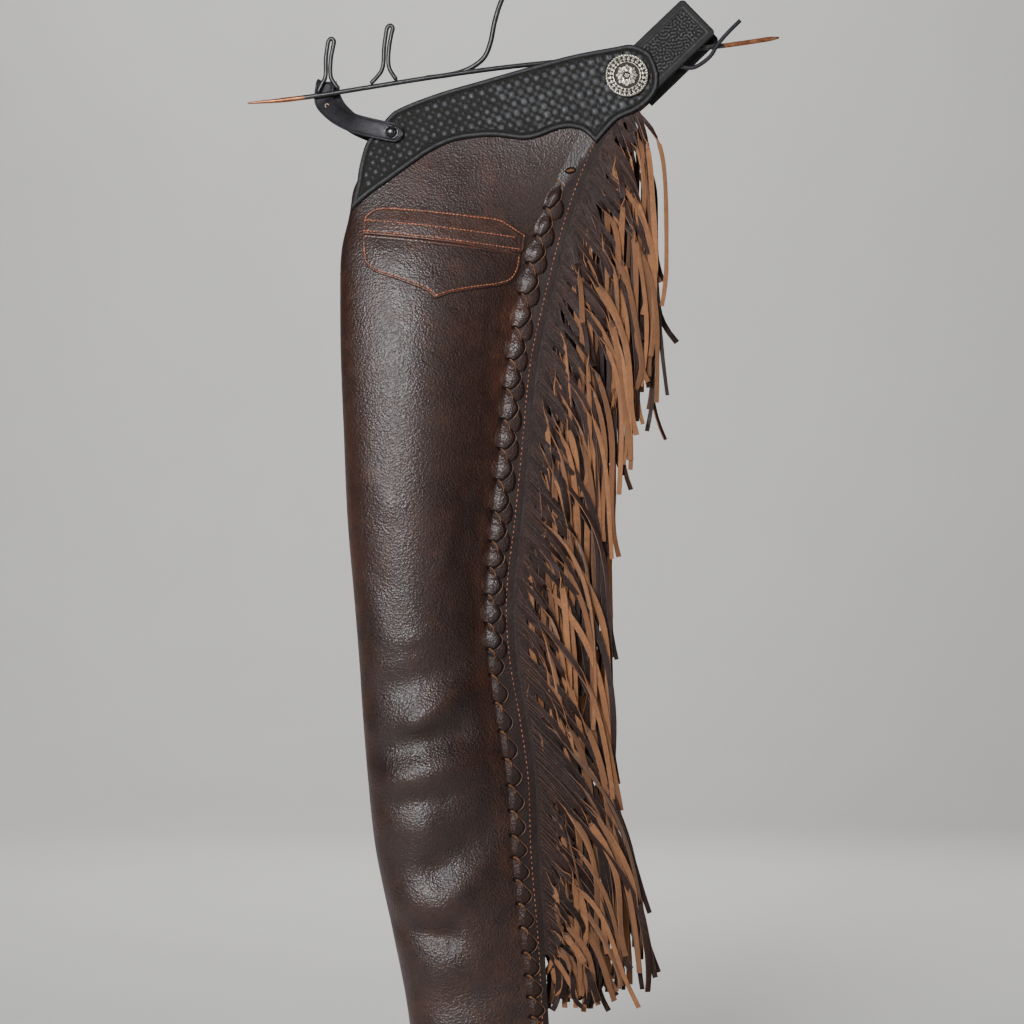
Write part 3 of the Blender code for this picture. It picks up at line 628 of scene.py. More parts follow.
def crackled_leather(name, gloss):
    """Chocolate leather with a crackled grain, rubbed rusty on its ridges and edges, with painted shade
    where the tone attribute is low and towards the shin.
    """
    colours = bpy.context.scene.chaps_colours
    base, worn = tuple(colours.leather), tuple(colours.leather_worn)
    n = Nodes(name)
    patch = n.noise(16, 4, 0.6)
    speck = n.noise(240, 3, 0.6)
    colour = n.blend(n.spread(patch, 0.35, 0.7), shade(base, 0.72), shade(base, 1.25))
    rusty = n.sums(n.value("wear"), n.spread(n.noise(42, 5, 0.65), 0.3, 0.75), "MULTIPLY")
    mottle = n.spread(n.noise(28, 5, 0.7), 0.54, 0.74, 0.0, 0.55)
    colour = n.blend(mottle, colour, shade(worn, 0.75))
    colour = n.blend(n.sums(rusty, 1.25, "MULTIPLY"), colour, worn)
    colour = n.blend(n.spread(speck, 0.3, 0.7, 0.75, 1.2), (0, 0, 0), colour)
    # Painted shade: where the tone attribute is below 0.5, on the flange and the low lobes, the colour is
    # darkened towards near black.
    lit = n.spread(n.value("tone"), 0.0, 0.5)
    colour = n.blend(lit, n.blend(0.6, colour, (0.009, 0.0036, 0.0026)), colour)
    height = n.add("ShaderNodeSeparateXYZ")
    n.link(n.place, height.inputs["Vector"])
    # Painted shade: darker towards the shin, standing in for the light falling off lower down.
    painted_shin_shade = n.spread(height.outputs["Z"], -0.95, -0.62, 0.50, 0.0)
    colour = n.blend(painted_shin_shade, colour, (0.007, 0.0026, 0.0018))
    creased = n.noise(150, 4, 0.6, distort=0.8)
    crackle = n.cells(430, warp=(260, 0.0028))
    pores = n.noise(620, 3, 0.6)
    strength = n.spread(height.outputs["Z"], -0.50, -0.24, 0.66, 0.32)
    bump = n.relief(creased, 0.0011, 0.26)
    bump = n.relief(crackle, 0.0009, strength, bump)
    bump = n.relief(pores, 0.0005, 0.5, bump)
    rough = n.spread(n.noise(46, 4, 0.6), 0.3, 0.7, 0.34, 0.50)
    rough = n.sums(rough, n.spread(lit, 0.0, 1.0, 0.30, 0.0))
    return n.finish(colour, rough, bump, Specular_IOR_Level=gloss, Coat_Weight=0.05,
                    Coat_Roughness=0.4)


def raw_edge(name):
    """Tan edge of cut leather."""
    suede = tuple(bpy.context.scene.chaps_colours.suede)
    n = Nodes(name)
    colour = n.blend(n.spread(n.noise(300, 3), 0.35, 0.65), shade(suede, 0.16), shade(suede, 0.55))
    bump = n.relief(n.noise(900, 2), 0.0004, 0.6)
    return n.finish(colour, 0.78, bump, Specular_IOR_Level=0.3)


def dull_lip(name):
    """Thin rubbed edge of a slit, a little lighter than the leather."""
    base = tuple(bpy.context.scene.chaps_colours.leather)
    n = Nodes(name)
    colour = n.blend(n.spread(n.noise(180, 3), 0.35, 0.65), shade(base, 1.5), (0.17, 0.075, 0.038))
    return n.finish(colour, 0.55, n.relief(n.noise(800, 2), 0.0003, 0.5))


def slit_dark(name):
    """Deep shade inside a slit."""
    n = Nodes(name)
    colour = n.blend(n.noise(200, 3), (0.003, 0.002, 0.002), (0.010, 0.007, 0.006))
    return n.finish(colour, 0.9, n.relief(n.noise(500), 0.0003, 0.5), Specular_IOR_Level=0.1)


def suede_side(name):
    """Flesh side of a strand: tan suede, toned from strand to strand."""
    suede = tuple(bpy.context.scene.chaps_colours.suede)
    n = Nodes(name)
    tone = n.value("tone")
    colour = n.blend(tone, shade(suede, 0.34), shade(suede, 1.15))
    dusty = n.spread(n.noise(130, 5, 0.7), 0.38, 0.66)
    colour = n.blend(dusty, n.blend(0.4, colour, (0.10, 0.055, 0.040)), colour)
    colour = n.blend(n.spread(n.noise(900, 2, 0.7), 0.25, 0.6, 0.45, 1.0), (0.05, 0.03, 0.02), colour)
    # Painted shade near each strand's root, carried in the wear attribute.
    colour = n.blend(n.value("wear"), colour, (0.045, 0.022, 0.014))
    nap = n.relief(n.noise(650, 4, 0.75), 0.0009, 0.7)
    nap = n.relief(n.noise(160, 3, 0.6), 0.0012, 0.4, nap)
    return n.finish(colour, 0.92, nap, Specular_IOR_Level=0.22, Sheen_Weight=0.18,
                    Sheen_Roughness=0.5)


def grain_side(name):
    """Grain side of a strand: dark, greyed and dusty."""
    base = tuple(bpy.context.scene.chaps_colours.leather)
    n = Nodes(name)
    colour = n.blend(n.value("tone"), shade(base, 0.35), shade(base, 1.25))
    dust = n.spread(n.noise(420, 4, 0.7), 0.5, 0.72, 0.0, 0.35)
    colour = n.blend(dust, colour, (0.085, 0.052, 0.042))
    bump = n.relief(n.noise(150, 4, 0.6, distort=0.5), 0.0009, 0.6)
    bump = n.relief(n.cells(780), 0.0004, 0.5, bump)
    rough = n.spread(n.noise(90, 3), 0.3, 0.7, 0.48, 0.66)
    return n.finish(colour, rough, bump, Specular_IOR_Level=0.20)


def stamped_leather(name):
    """Black stamped leather: greyed on top, partly waxed wear and partly painted highlight, and matt,
    brownish and darker in the ground, partly painted shade.
    """
    black = tuple(bpy.context.scene.chaps_colours.black)
    n = Nodes(name)
    raised = n.value("tone")
    ground = n.blend(n.spread(n.noise(700, 3, 0.7), 0.35, 0.75), (0.0022, 0.0022, 0.0020),
                     (0.013, 0.0115, 0.009))
    top = n.blend(n.spread(n.noise(260, 4), 0.3, 0.7), shade(black, 2.2), shade(black, 7.0))
    # Lighter on the raised tops, partly waxed wear and partly painted highlight; darker in the ground,
    # partly painted shade.
    colour = n.blend(n.spread(raised, 0.15, 0.85), ground, top)
    rough = n.spread(raised, 0.2, 0.9, 0.74, 0.40)
    bump = n.relief(n.cells(900), 0.0003, 0.5)
    bump = n.relief(n.noise(420, 4, 0.65), 0.0005, 0.6, bump)
    return n.finish(colour, rough, bump, Specular_IOR_Level=0.28)


def strap_leather(name):
    """Smooth waxed black leather with a violet grey bloom."""
    black = tuple(bpy.context.scene.chaps_colours.black)
    n = Nodes(name)
    colour = n.blend(n.spread(n.noise(45, 4), 0.35, 0.7), shade(black, 0.8),
                     (black[0] * 2.4, black[1] * 2.0, black[2] * 2.5))
    colour = n.blend(n.value("wear"), colour, (0.34, 0.24, 0.16))
    bump = n.relief(n.cells(820), 0.0003, 0.45)
    bump = n.relief(n.noise(140, 4), 0.0006, 0.5, bump)
    rough = n.spread(n.noise(110, 3), 0.3, 0.7, 0.40, 0.56)
    return n.finish(colour, rough, bump, Specular_IOR_Level=0.24)


def rust_thread(name):
    thread = tuple(bpy.context.scene.chaps_colours.thread)
    n = Nodes(name)
    colour = n.blend(n.value("tone"), shade(thread, 0.45), shade(thread, 1.3))
    bump = n.relief(n.noise(1500, 2), 0.0003, 0.6)
    return n.finish(colour, 0.62, bump, Specular_IOR_Level=0.4, Sheen_Weight=0.1)


def antique_silver(name):
    """Silver that stays dark in its recesses."""
    silver = tuple(bpy.context.scene.chaps_colours.silver)
    n = Nodes(name)
    height = n.spread(n.value("tone"), 0.22, 0.62)
    tarnish = n.spread(n.noise(520, 4, 0.65), 0.3, 0.72)
    bright = n.blend(tarnish, shade(silver, 0.62), silver)
    colour = n.blend(height, (0.020, 0.017, 0.013), bright)
    n.link(n.spread(n.value("tone"), 0.15, 0.45, 0.55, 1.0), n.shader.inputs["Metallic"])
    rough = n.spread(n.value("tone"), 0.2, 0.8, 0.55, 0.27)
    return n.finish(colour, rough, n.relief(n.noise(700, 3), 0.00025, 0.6))


def black_metal(name):
    n = Nodes(name)
    colour = n.blend(n.spread(n.noise(400, 3), 0.4, 0.7), (0.010, 0.010, 0.011), (0.05, 0.048, 0.05))
    rough = n.spread(n.noise(300, 3), 0.3, 0.7, 0.18, 0.34)
    return n.finish(colour, rough, n.relief(n.noise(600), 0.0001, 0.4), Metallic=0.7)


def hanger_wire(name):
    """Black lacquered wire, worn to copper where its wear is high."""
    n = Nodes(name)
    lacquer = n.blend(n.spread(n.noise(260, 3), 0.4, 0.7), (0.008, 0.008, 0.008),
                      (0.028, 0.027, 0.026))
    copper = n.blend(n.spread(n.noise(180, 4), 0.3, 0.7), (0.15, 0.052, 0.024), (0.36, 0.155, 0.075))
    chips = n.sums(n.value("wear"), n.spread(n.noise(210, 5, 0.7), 0.3, 0.7, -0.22, 0.22))
    bare = n.spread(chips, 0.42, 0.58)
    colour = n.blend(bare, lacquer, copper)
    n.link(n.spread(bare, 0, 1, 0.25, 0.9), n.shader.inputs["Metallic"])
    rough = n.spread(n.noise(350, 3), 0.3, 0.7, 0.26, 0.42)
    return n.finish(colour, rough, n.relief(n.noise(500, 3), 0.00025, 0.6))


def plain_ground(name, tint):
    n = Nodes(name)
    colour = n.blend(n.spread(n.noise(3, 3), 0.3, 0.7), shade(tint, 0.97), tint)
    return n.finish(colour, 0.85, Specular_IOR_Level=0.2)


# Pieces

def rubbed(across, drop, turns):
    """How rubbed the leather is: on the left fold, on ridges, by the seam and low down."""
    fold = np.exp(-((turns - 0.93) / 0.11) ** 2) * ease((drop - 380) / 260)
    ridge = np.clip(fold_height(across, drop, FOLDS) / 6.0, 0, 1) * 0.35
    seam = leg(SEAM, drop)
    patch = np.exp(-((across - seam + 14) / 9) ** 2 - ((drop - 425) / 32) ** 2)
    rib = np.exp(-((across - seam + 13) / 7) ** 2) * ease((drop - 380) / 60) * 0.45
    low = ease((drop - 830) / 260) * 0.55 + ease((drop - 1040) / 80) * 0.2
    return np.clip(0.12 + fold * 0.75 + ridge + patch * 1.3 + rib + low, 0, 1)


class CHAPS_OT_legs(Operator):
    """Build both legs: one hide each, folded round, with the flange beside its seam"""
    bl_idname = "chaps.legs"
    bl_label = "Legs"

    def execute(self, context):
        leather = once("chocolate_leather", leg_leather)
        edge = once("cut_leather_edge", raw_edge)
        dull_and_shaded = once("flange_leather", flange_leather)
        for half, side in SIDES:
            thing = self.leg(f"leather_leg_{half}", side, (leather, edge, dull_and_shaded))
            settle(thing, "leg_leather", f"leg_{half}")
        return {"FINISHED"}

    def leg(self, name, side, finishes):
        turns = np.concatenate((np.linspace(0, 0.5, 56)[:-1], np.linspace(0.5, 1, 44)[:-1],
                                np.linspace(1, 1.5, 34)[:-1], np.linspace(1.5, 2, 34)))
        share = np.linspace(0, 1, 190)[:, None]
        top = smooth_read(LEG_TOP[:, 0], LEG_TOP[:, 1], turns)
        drops = top + (HEM_DROP - top) * share
        outer = shell(turns, drops, creased=True)
        inner = shell(turns, drops, LEG_WALL, creased=True)
        across_flange = np.linspace(0, 1, 9)
        seam_drop = drops[:, :1]
        tip = outer[:, :1, 0]
        along = flange_edge(seam_drop) + (tip - flange_edge(seam_drop)) * across_flange
        ripple = 0.35 * np.sin(seam_drop / 19.0 + along / 7.0) * np.sin(np.pi * across_flange)
        middle = seam_out(seam_drop) + ripple
        front = np.stack((along, np.broadcast_to(seam_drop, along.shape), middle + LEG_WALL / 2), -1)
        back = np.stack((along, np.broadcast_to(seam_drop, along.shape), middle - LEG_WALL / 2), -1)
        loop = np.concatenate((front[:, :-1], outer, back[:, -2::-1]), 1)
        rows, columns, lining = len(share), loop.shape[1], len(turns)
        around = np.concatenate((np.zeros(8), turns, np.full(8, 2.0)))
        wear = rubbed(loop[..., 0], loop[..., 1], around)
        build = Build()
        reach = 8.5 * ease((seam_drop - 150) / 210)
        dull_and_shaded = ease(reach - np.arange(8))
        # Painted shade: the flange's tone drops where it turns dull, so it is drawn darker as well as less
        # glossy.
        tone = np.full(loop.shape[:2], 0.5)
        tone[:, :8] = 0.5 - 0.42 * dull_and_shaded
        tone[:, -8:] = 0.5 - 0.42 * dull_and_shaded[:, ::-1]
        slots = np.zeros((rows - 1, columns))
        slots[:, :7] = 2 * (dull_and_shaded[1:, :7] > 0.5)
        slots[:, -8:] = 2 * (dull_and_shaded[1:, ::-1] > 0.5)
        build.add(loop, grid_faces(rows, columns, closed=True), slots, tone, wear * (tone / 0.5))
        build.add(inner, grid_faces(rows, lining, closed=True), wear=0.0)
        ends = []
        for row in (0, rows - 1):
            out0, in0 = row * columns, rows * columns + row * lining
            for i in range(lining - 1):
                ends.append([out0 + 8 + i, out0 + 9 + i, in0 + i + 1, in0 + i])
            ends.append([out0 + 8, in0, in0 + lining - 1, out0 + 8 + lining - 1])
            for i in range(8):
                ends.append([out0 + i, out0 + i + 1, out0 + columns - 2 - i, out0 + columns - 1 - i])
        build.faces += ends
        build.slots.append(np.ones(len(ends)))
        return build.make(name, finishes, side, sharp=50)


class CHAPS_OT_braids(Operator):
    """Build the slit braid of both outseams, lobe by lobe, with its cut edges"""
    bl_idname = "chaps.braids"
    bl_label = "Slit Braid"

    def execute(self, context):
        finishes = (once("chocolate_leather", leg_leather), once("slit_shade", slit_dark),
                    once("cut_leather_edge", raw_edge), once("dull_lip", dull_lip),
                    once("flange_leather", flange_leather))
        for half, side in SIDES:
            build = Build()
            chance = np.random.default_rng(21)
            for top, bottom in zip(BITES, BITES[1:]):
                if top < LOW_BRAID:
                    self.tab(build, top, bottom)
                self.lobe(build, top, bottom, chance)
            self.slot(build)
            thing = build.make(f"slit_braid_{half}", finishes, side, sharp=70)
            settle(thing, "braid_leather", f"seam_braid_{half}")
        return {"FINISHED"}

    def bite(self, drop):
        """The line of cuts that the lobes come through."""
        return leg(SEAM, drop) - 1.4

    def bed(self, x, y):
        """The flange with its own low lobes, which lie between the leg's."""
        high = np.zeros(np.shape(x))
        for top, bottom in zip(BITES, BITES[1:]):
            if top >= LOW_BRAID:
                break
            far = np.hypot((x - self.bite(bottom) - 5.0) / 9.8, (y - bottom - 0.5) / (bottom - top) / 0.43)
            high = np.maximum(high, 2.1 * np.clip(1 - far**2, 0, 1) ** 0.6)
        return face_out(x, y) + high

    def tab(self, build, top, bottom):
        """One low lobe of the flange."""
        angle = np.linspace(0, 2 * np.pi, 40, endpoint=False)
        share = np.sin(np.linspace(0, np.pi / 2, 10))[:, None]
        x = self.bite(bottom) + 5.0 + 9.8 * share * np.cos(angle)
        y = bottom + 0.5 + 0.43 * (bottom - top) * share * np.sin(angle)
        points = np.stack((x, y, self.bed(x, y) - 0.15 * share**8), -1)
        # Painted shade: the flange lobes carry a low tone, so they are drawn darker than the leg.
        build.add(points, grid_faces(10, 40, closed=True), slot=4, tone=0.3, wear=0.1)
        # A thin line of painted shadow along each flange lobe's edge.
        ring = np.linspace(-1.1, 0.9, 20)
        ring_x = self.bite(bottom) + 5.0 + 10.2 * np.cos(ring)
        ring_y = bottom + 0.5 + (0.43 * (bottom - top) + 0.4) * np.sin(ring)
        line = np.stack((ring_x, ring_y, face_out(ring_x, ring_y) + 0.05), -1)
        add_tube(build, line, 0.45, 6, slot=1)

    def outline(self, top, bottom, angle, grow=0.0):
        """Edge of a lobe: a narrow neck at its cut, then it swells and rounds off low."""
        pitch = bottom - top
        down = 0.5 + 0.5 * np.sin(angle)
        drop = top + pitch * (0.10 + 0.92 * down)
        swell = np.cos(angle)
        size = 0.66 + 0.34 * ease((top - 270) / 70)
        short = 1 - 0.55 * ease((top - 700) / 90)
        right = (8.4 * size + grow) * (0.34 + 0.66 * ease(down * 1.55))
        left = 15.0 * size * short * (0.75 + 0.25 * down)
        low = np.maximum(np.sin(angle), 0)
        across = self.bite(top + pitch * down) + np.where(swell > 0, right, left) * swell
        across = across + 1.2 - 1.6 * low**3
        return across, drop + grow * low * 0.6

    def lobe(self, build, top, bottom, chance):
        """One lobe, a crescent of painted shadow along its cut, the thin lip beside it, the raw edge at its
        neck and a spot of painted shade below it.
        """
        sides, rings = 44, 13
        pitch = bottom - top
        angle = np.linspace(0, 2 * np.pi, sides, endpoint=False)
        share = np.sin(np.linspace(0, np.pi / 2, rings))[:, None]
        edge_x, edge_y = self.outline(top, bottom, angle)
        middle_y = top + pitch * 0.62
        middle_x = float(self.bite(middle_y)) + 1.2
        x = middle_x + (edge_x - middle_x) * share
        y = middle_y + (edge_y - middle_y) * share
        right = ease(np.cos(angle) * 1.6 + np.maximum(np.sin(angle), 0) * 0.55 + 0.45)
        crisp = np.sqrt(np.clip(1 - share**2, 0, 1))
        soft = np.clip(1 - share**2, 0, 1) ** 1.7
        dome = soft + (crisp - soft) * right
        neck = 0.30 + 0.70 * ease((y - top) / pitch * 1.9 - 0.15)
        low_down = ease((top - 700) / 90)
        high = 4.0 * (0.88 + 0.24 * chance.random()) * (1 - 0.72 * low_down)
        out = face_out(x, y) - 0.25 * (1 - right) * share**4 + high * dome * neck
        wear = rubbed(x, y, leg_turn(x, y)[0])
        # Painted shade: the low lobes are drawn darker towards their right side.
        tone = np.broadcast_to(0.5 - 0.46 * low_down * right, x.shape)
        build.add(np.stack((x, y, out), -1), grid_faces(rings, sides, closed=True), tone=tone,
                  wear=wear, slot=4 if top > LOW_BRAID else 0)
        # A dark crescent of painted shadow around the lobe's edge.
        arc = np.linspace(-0.55, 2.15, 26)
        ox, oy = self.outline(top, bottom, arc, grow=1.9)
        ix, iy = self.outline(top, bottom, arc, grow=-1.5)
        gap = np.stack((np.stack((ix, iy, self.bed(ix, iy) + 0.3), -1),
                        np.stack((ox, oy, self.bed(ox, oy) + 0.12), -1)))
        build.add(gap, grid_faces(2, 26), slot=1)
        lip_at = np.linspace(-0.25 - 0.6 * low_down, 1.15, 16)
        lx, ly = self.outline(top, bottom, lip_at, grow=2.3)
        lip = np.stack((lx, ly, self.bed(lx, ly) + 0.15), -1)
        add_tube(build, lip, np.interp(lip_at, (-0.25, 0.5, 1.15), (0.3, 0.6, 0.3)), 6, slot=3)
        at = np.linspace(0, 1, 12)
        hx = self.bite(top) - 2.4 + 5.6 * at**0.8 + 1.6 * np.sin(np.pi * at)
        hy = top + 0.5 + pitch * (0.42 - 0.12 * low_down) * at**1.15
        raw = np.stack((hx, hy, self.bed(hx, hy) + 0.3 + 0.5 * at), -1)
        add_tube(build, raw, (0.95 + 0.45 * low_down) * (1 - 0.62 * at), 8, slot=2)
        # A dark spot of painted shade in the bite below the lobe.
        turn = np.linspace(0, 2 * np.pi, 14, endpoint=False)
        px = float(self.bite(bottom)) - 3.6 + 3.1 * np.cos(turn) - 0.5 * np.sin(turn)
        py = bottom - 0.2 + 2.0 * np.sin(turn)
        pit = np.stack((px, py, self.bed(px, py) + 0.5), -1)
        hub = np.array([[px.mean(), py.mean(), float(self.bed(px.mean(), py.mean())) + 0.6]])
        fan = [[0, 1 + i, 1 + (i + 1) % 14] for i in range(14)]
        build.add(np.concatenate((hub, pit)), fan, slot=1)

    def slot(self, build):
        """The slot above the first lobe, with the end of its thong in it."""
        x, y = TOP_SLOT
        # A dark ring of painted shade round the slot.
        turn = np.linspace(0, 2 * np.pi, 25)
        ring_x, ring_y = x + 5.2 * np.cos(turn), y + 2.7 * np.sin(turn) - 0.9 * np.cos(turn)
        ring = np.stack((ring_x, ring_y, face_out(ring_x, ring_y) + 0.1), -1)
        add_tube(build, ring, 0.65, 6, slot=1)
        end_x = x + np.linspace(-2.6, 3.2, 8)
        end_y = y + 0.3 - np.linspace(-0.4, 0.6, 8)
        end = np.stack((end_x, end_y, face_out(end_x, end_y) + 0.5), -1)
        add_tube(build, end, 1.5, 8, slot=2, tone=0.7)


def panel_piece(name, upper, lower, corners, columns, rows, relief, thick, finishes, side,
                under=0.25):
    """A stitched-on panel that lies on the leg, with its relief given by place and edge distance."""
    top = smooth_line(upper, columns)
    bottom = smooth_line(lower, columns, corners)
    s = np.linspace(0, 1, rows)
    s = 0.45 * s + 0.55 * (0.5 - 0.5 * np.cos(np.pi * s))
    grid = top[None] + (bottom - top)[None] * s[:, None, None]
    across, drop = grid[..., 0], grid[..., 1]
    outline = np.concatenate((smooth_line(upper, 90), smooth_line(lower, 90, corners)[::-1]))
    away = edge_distance(across, drop, outline)
    height, tone, wear = relief(across, drop, away)
    face, _ = over_leg(across, drop, thick + height)
    levels = [0, rows // 6, rows // 3, rows // 2, 2 * rows // 3, 5 * rows // 6, rows - 1]
    back, _ = over_leg(across[levels], drop[levels], under)
    build = Build()
    build.add(face, grid_faces(rows, columns), tone=tone, wear=wear)
    # The back carries tone 0: painted shade on the underside, darkening the rim walls towards it.
    build.add(back, grid_faces(len(levels), columns), tone=0.0)
    first = rows * columns
    rim = []
    for i in range(columns - 1):
        rim.append([i, i + 1, first + i + 1, first + i])
        a, b = (rows - 1) * columns + i, first + (len(levels) - 1) * columns + i
        rim.append([a, a + 1, b + 1, b])
    for i in (0, columns - 1):
        rim.append([r * columns + i for r in range(rows)]
                   + [first + r * columns + i for r in range(len(levels) - 1, -1, -1)])
    build.faces += rim
    build.slots.append(np.zeros(len(rim)))
    return build.make(name, finishes, side, sharp=60)


def basket_relief(across, drop, away):
    """Basket stamping inside a rolled rim, with the awl holes along the top."""
    pitch = bpy.context.scene.chaps_sizes.stamp_pitch / MM
    chance = np.random.default_rng(8)
    lean = math.radians(16)
    u = (across * math.cos(lean) - drop * math.sin(lean)) / pitch
    v = (across * math.sin(lean) + drop * math.cos(lean)) / (pitch * 1.04)
    ground = -0.95
    height = np.full(across.shape, ground)
    # Tone lights the pads and the rim, partly waxed wear and partly painted highlight; it stays low in the
    # ground as painted shade.
    tone = np.full(across.shape, 0.12)
    jitter = chance.random((128, 128, 4))
    for shift, half, high, bright in ((0.0, (0.41, 0.42), 1.45, 1.0), (0.5, (0.30, 0.31), 0.85, 0.5)):
        i = np.floor(u + shift).astype(int)
        j = np.floor(v + shift).astype(int)
        spot = jitter[i % 128, j % 128]
        x = u + shift - i - 0.5 - (spot[..., 0] - 0.5) * 0.14
        y = v + shift - j - 0.5 - (spot[..., 1] - 0.5) * 0.14
        size = (0.80 + 0.34 * spot[..., 2]) * (0.62 + 0.34 * ease((across + 140) / 220))
        far = ((np.abs(x) / (half[0] * size)) ** 2.6 + (np.abs(y) / (half[1] * size)) ** 2.6)
        pad = np.clip(1 - far, 0, 1) ** 0.55
        lift = pad * high * (0.72 + 0.4 * spot[..., 3])
        height = np.maximum(height, ground + lift)
        tone = np.maximum(tone, 0.12 + pad * bright * (0.45 + 0.5 * spot[..., 3]))
    inside = ease((away - 6.4) / 1.4)
    height, tone = height * inside, tone * inside
    rim = 0.55 * np.exp(-((away - 2.7) / 1.6) ** 2) - 0.95 * np.exp(-((away - 5.7) / 0.75) ** 2)
    height = height + rim - 1.5 * np.clip(1 - away / 1.7, 0, 1) ** 2
    tone = np.maximum(tone, 0.62 * np.exp(-((away - 2.5) / 1.7) ** 2))
    line = np.array([(x, y) for x, y in YOKE_UPPER[3:12]])
    top = np.interp(across, line[:, 0], line[:, 1])
    hole = np.exp(-(((drop - top - 8.0) / 1.1) ** 2)) * (0.5 + 0.5 * np.cos(across * 2 * np.pi / 3.5)) ** 2
    hole = hole * (across > -140) * (across < 120)
    # The awl holes are darkened as painted shade.
    return height - hole * 0.9, tone * (1 - hole), np.zeros(across.shape)


def band_relief(across, drop, away):
    height, tone, wear = pocket_relief(across, drop, away)
    return height, tone, wear + 0.3


def pocket_relief(across, drop, away):
    puff = 0.5 * ease((away - 3.0) / 14.0)
    groove = -0.35 * np.exp(-((away - 2.6) / 0.8) ** 2)
    edge = -0.8 * np.clip(1 - away / 1.2, 0, 1) ** 2
    soft = 0.25 * np.sin(across / 17.0 + drop / 23.0) * ease((away - 4) / 10)
    wear = 0.95 * np.exp(-(away / 2.2) ** 2) + 0.1
    return puff + groove + edge + soft, np.full(across.shape, 0.5), wear


class CHAPS_OT_yokes(Operator):
    """Build both yokes with their basket stamping and rolled rims"""
    bl_idname = "chaps.yokes"
    bl_label = "Yokes"

    def execute(self, context):
        black = once("stamped_black_leather", stamped_leather)
        for half, side in SIDES:
            thing = panel_piece(f"stamped_yoke_{half}", YOKE_UPPER, YOKE_LOWER, (YOKE_TIP,), 400, 82,
                                basket_relief, PANEL_LIFT + YOKE_THICK - 0.6, (black,), side)
            settle(thing, "belt_leather", f"yoke_{half}")
        return {"FINISHED"}


class CHAPS_OT_pockets(Operator):
    """Build the pockets and their top bands, with rust thread round every edge"""
    bl_idname = "chaps.pockets"
    bl_label = "Pockets"

    def execute(self, context):
        leather = once("chocolate_leather", leg_leather)
        thread = once("rust_thread", rust_thread)
        gap = 0.3
        band_lower = [(x, y - gap) for x, y in BAND_LINE] + [BAND_END]
        pocket_upper = [(x, y + gap) for x, y in BAND_LINE]
        thick = PANEL_LIFT + POCKET_THICK + 0.6
        for half, side in SIDES:
            pocket = panel_piece(f"pocket_bag_{half}", pocket_upper, POCKET_BOTTOM, (POCKET_TIP,),
                                 150, 50, pocket_relief, thick - 0.3, (leather,), side)
            settle(pocket, "leg_leather", f"pocket_{half}")
            band = panel_piece(f"pocket_top_band_{half}", POCKET_TOP, band_lower, (), 150, 26,
                               band_relief, thick - 0.1, (leather,), side)
            settle(band, "leg_leather", f"pocket_band_{half}")
            self.thread(f"pocket_thread_{half}", thread, side, thick)
        return {"FINISHED"}

    def thread(self, name, finish, side, thick):
        pitch = bpy.context.scene.chaps_sizes.stitch_pitch / MM
        build = Build()
        lower = self.inward(smooth_line(POCKET_BOTTOM, 260, (POCKET_TIP,)), 2.6, -1)
        upper = self.inward(smooth_line(POCKET_TOP, 200), 2.6, 1)
        above = self.inward(smooth_line(BAND_LINE, 200), 3.0, -1)
        below = self.inward(smooth_line(BAND_LINE, 200), 14.5, -1)[3:-8]
        for line, lift in ((lower, 0.02), (upper, 0.02), (above, 0.1), (below, 0.5)):
            places, normals = over_leg(line[:, 0], line[:, 1], thick + lift)
            add_stitches(build, places, normals, pitch, pitch * 0.8, 1.15)
        thing = build.make(name, (finish,), side)
        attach(thing, "root")

    def inward(self, line, distance, way):
        along = np.gradient(line, axis=0)
        along /= np.linalg.norm(along, axis=1, keepdims=True)
        return line + np.stack((-along[:, 1], along[:, 0]), -1) * distance * way


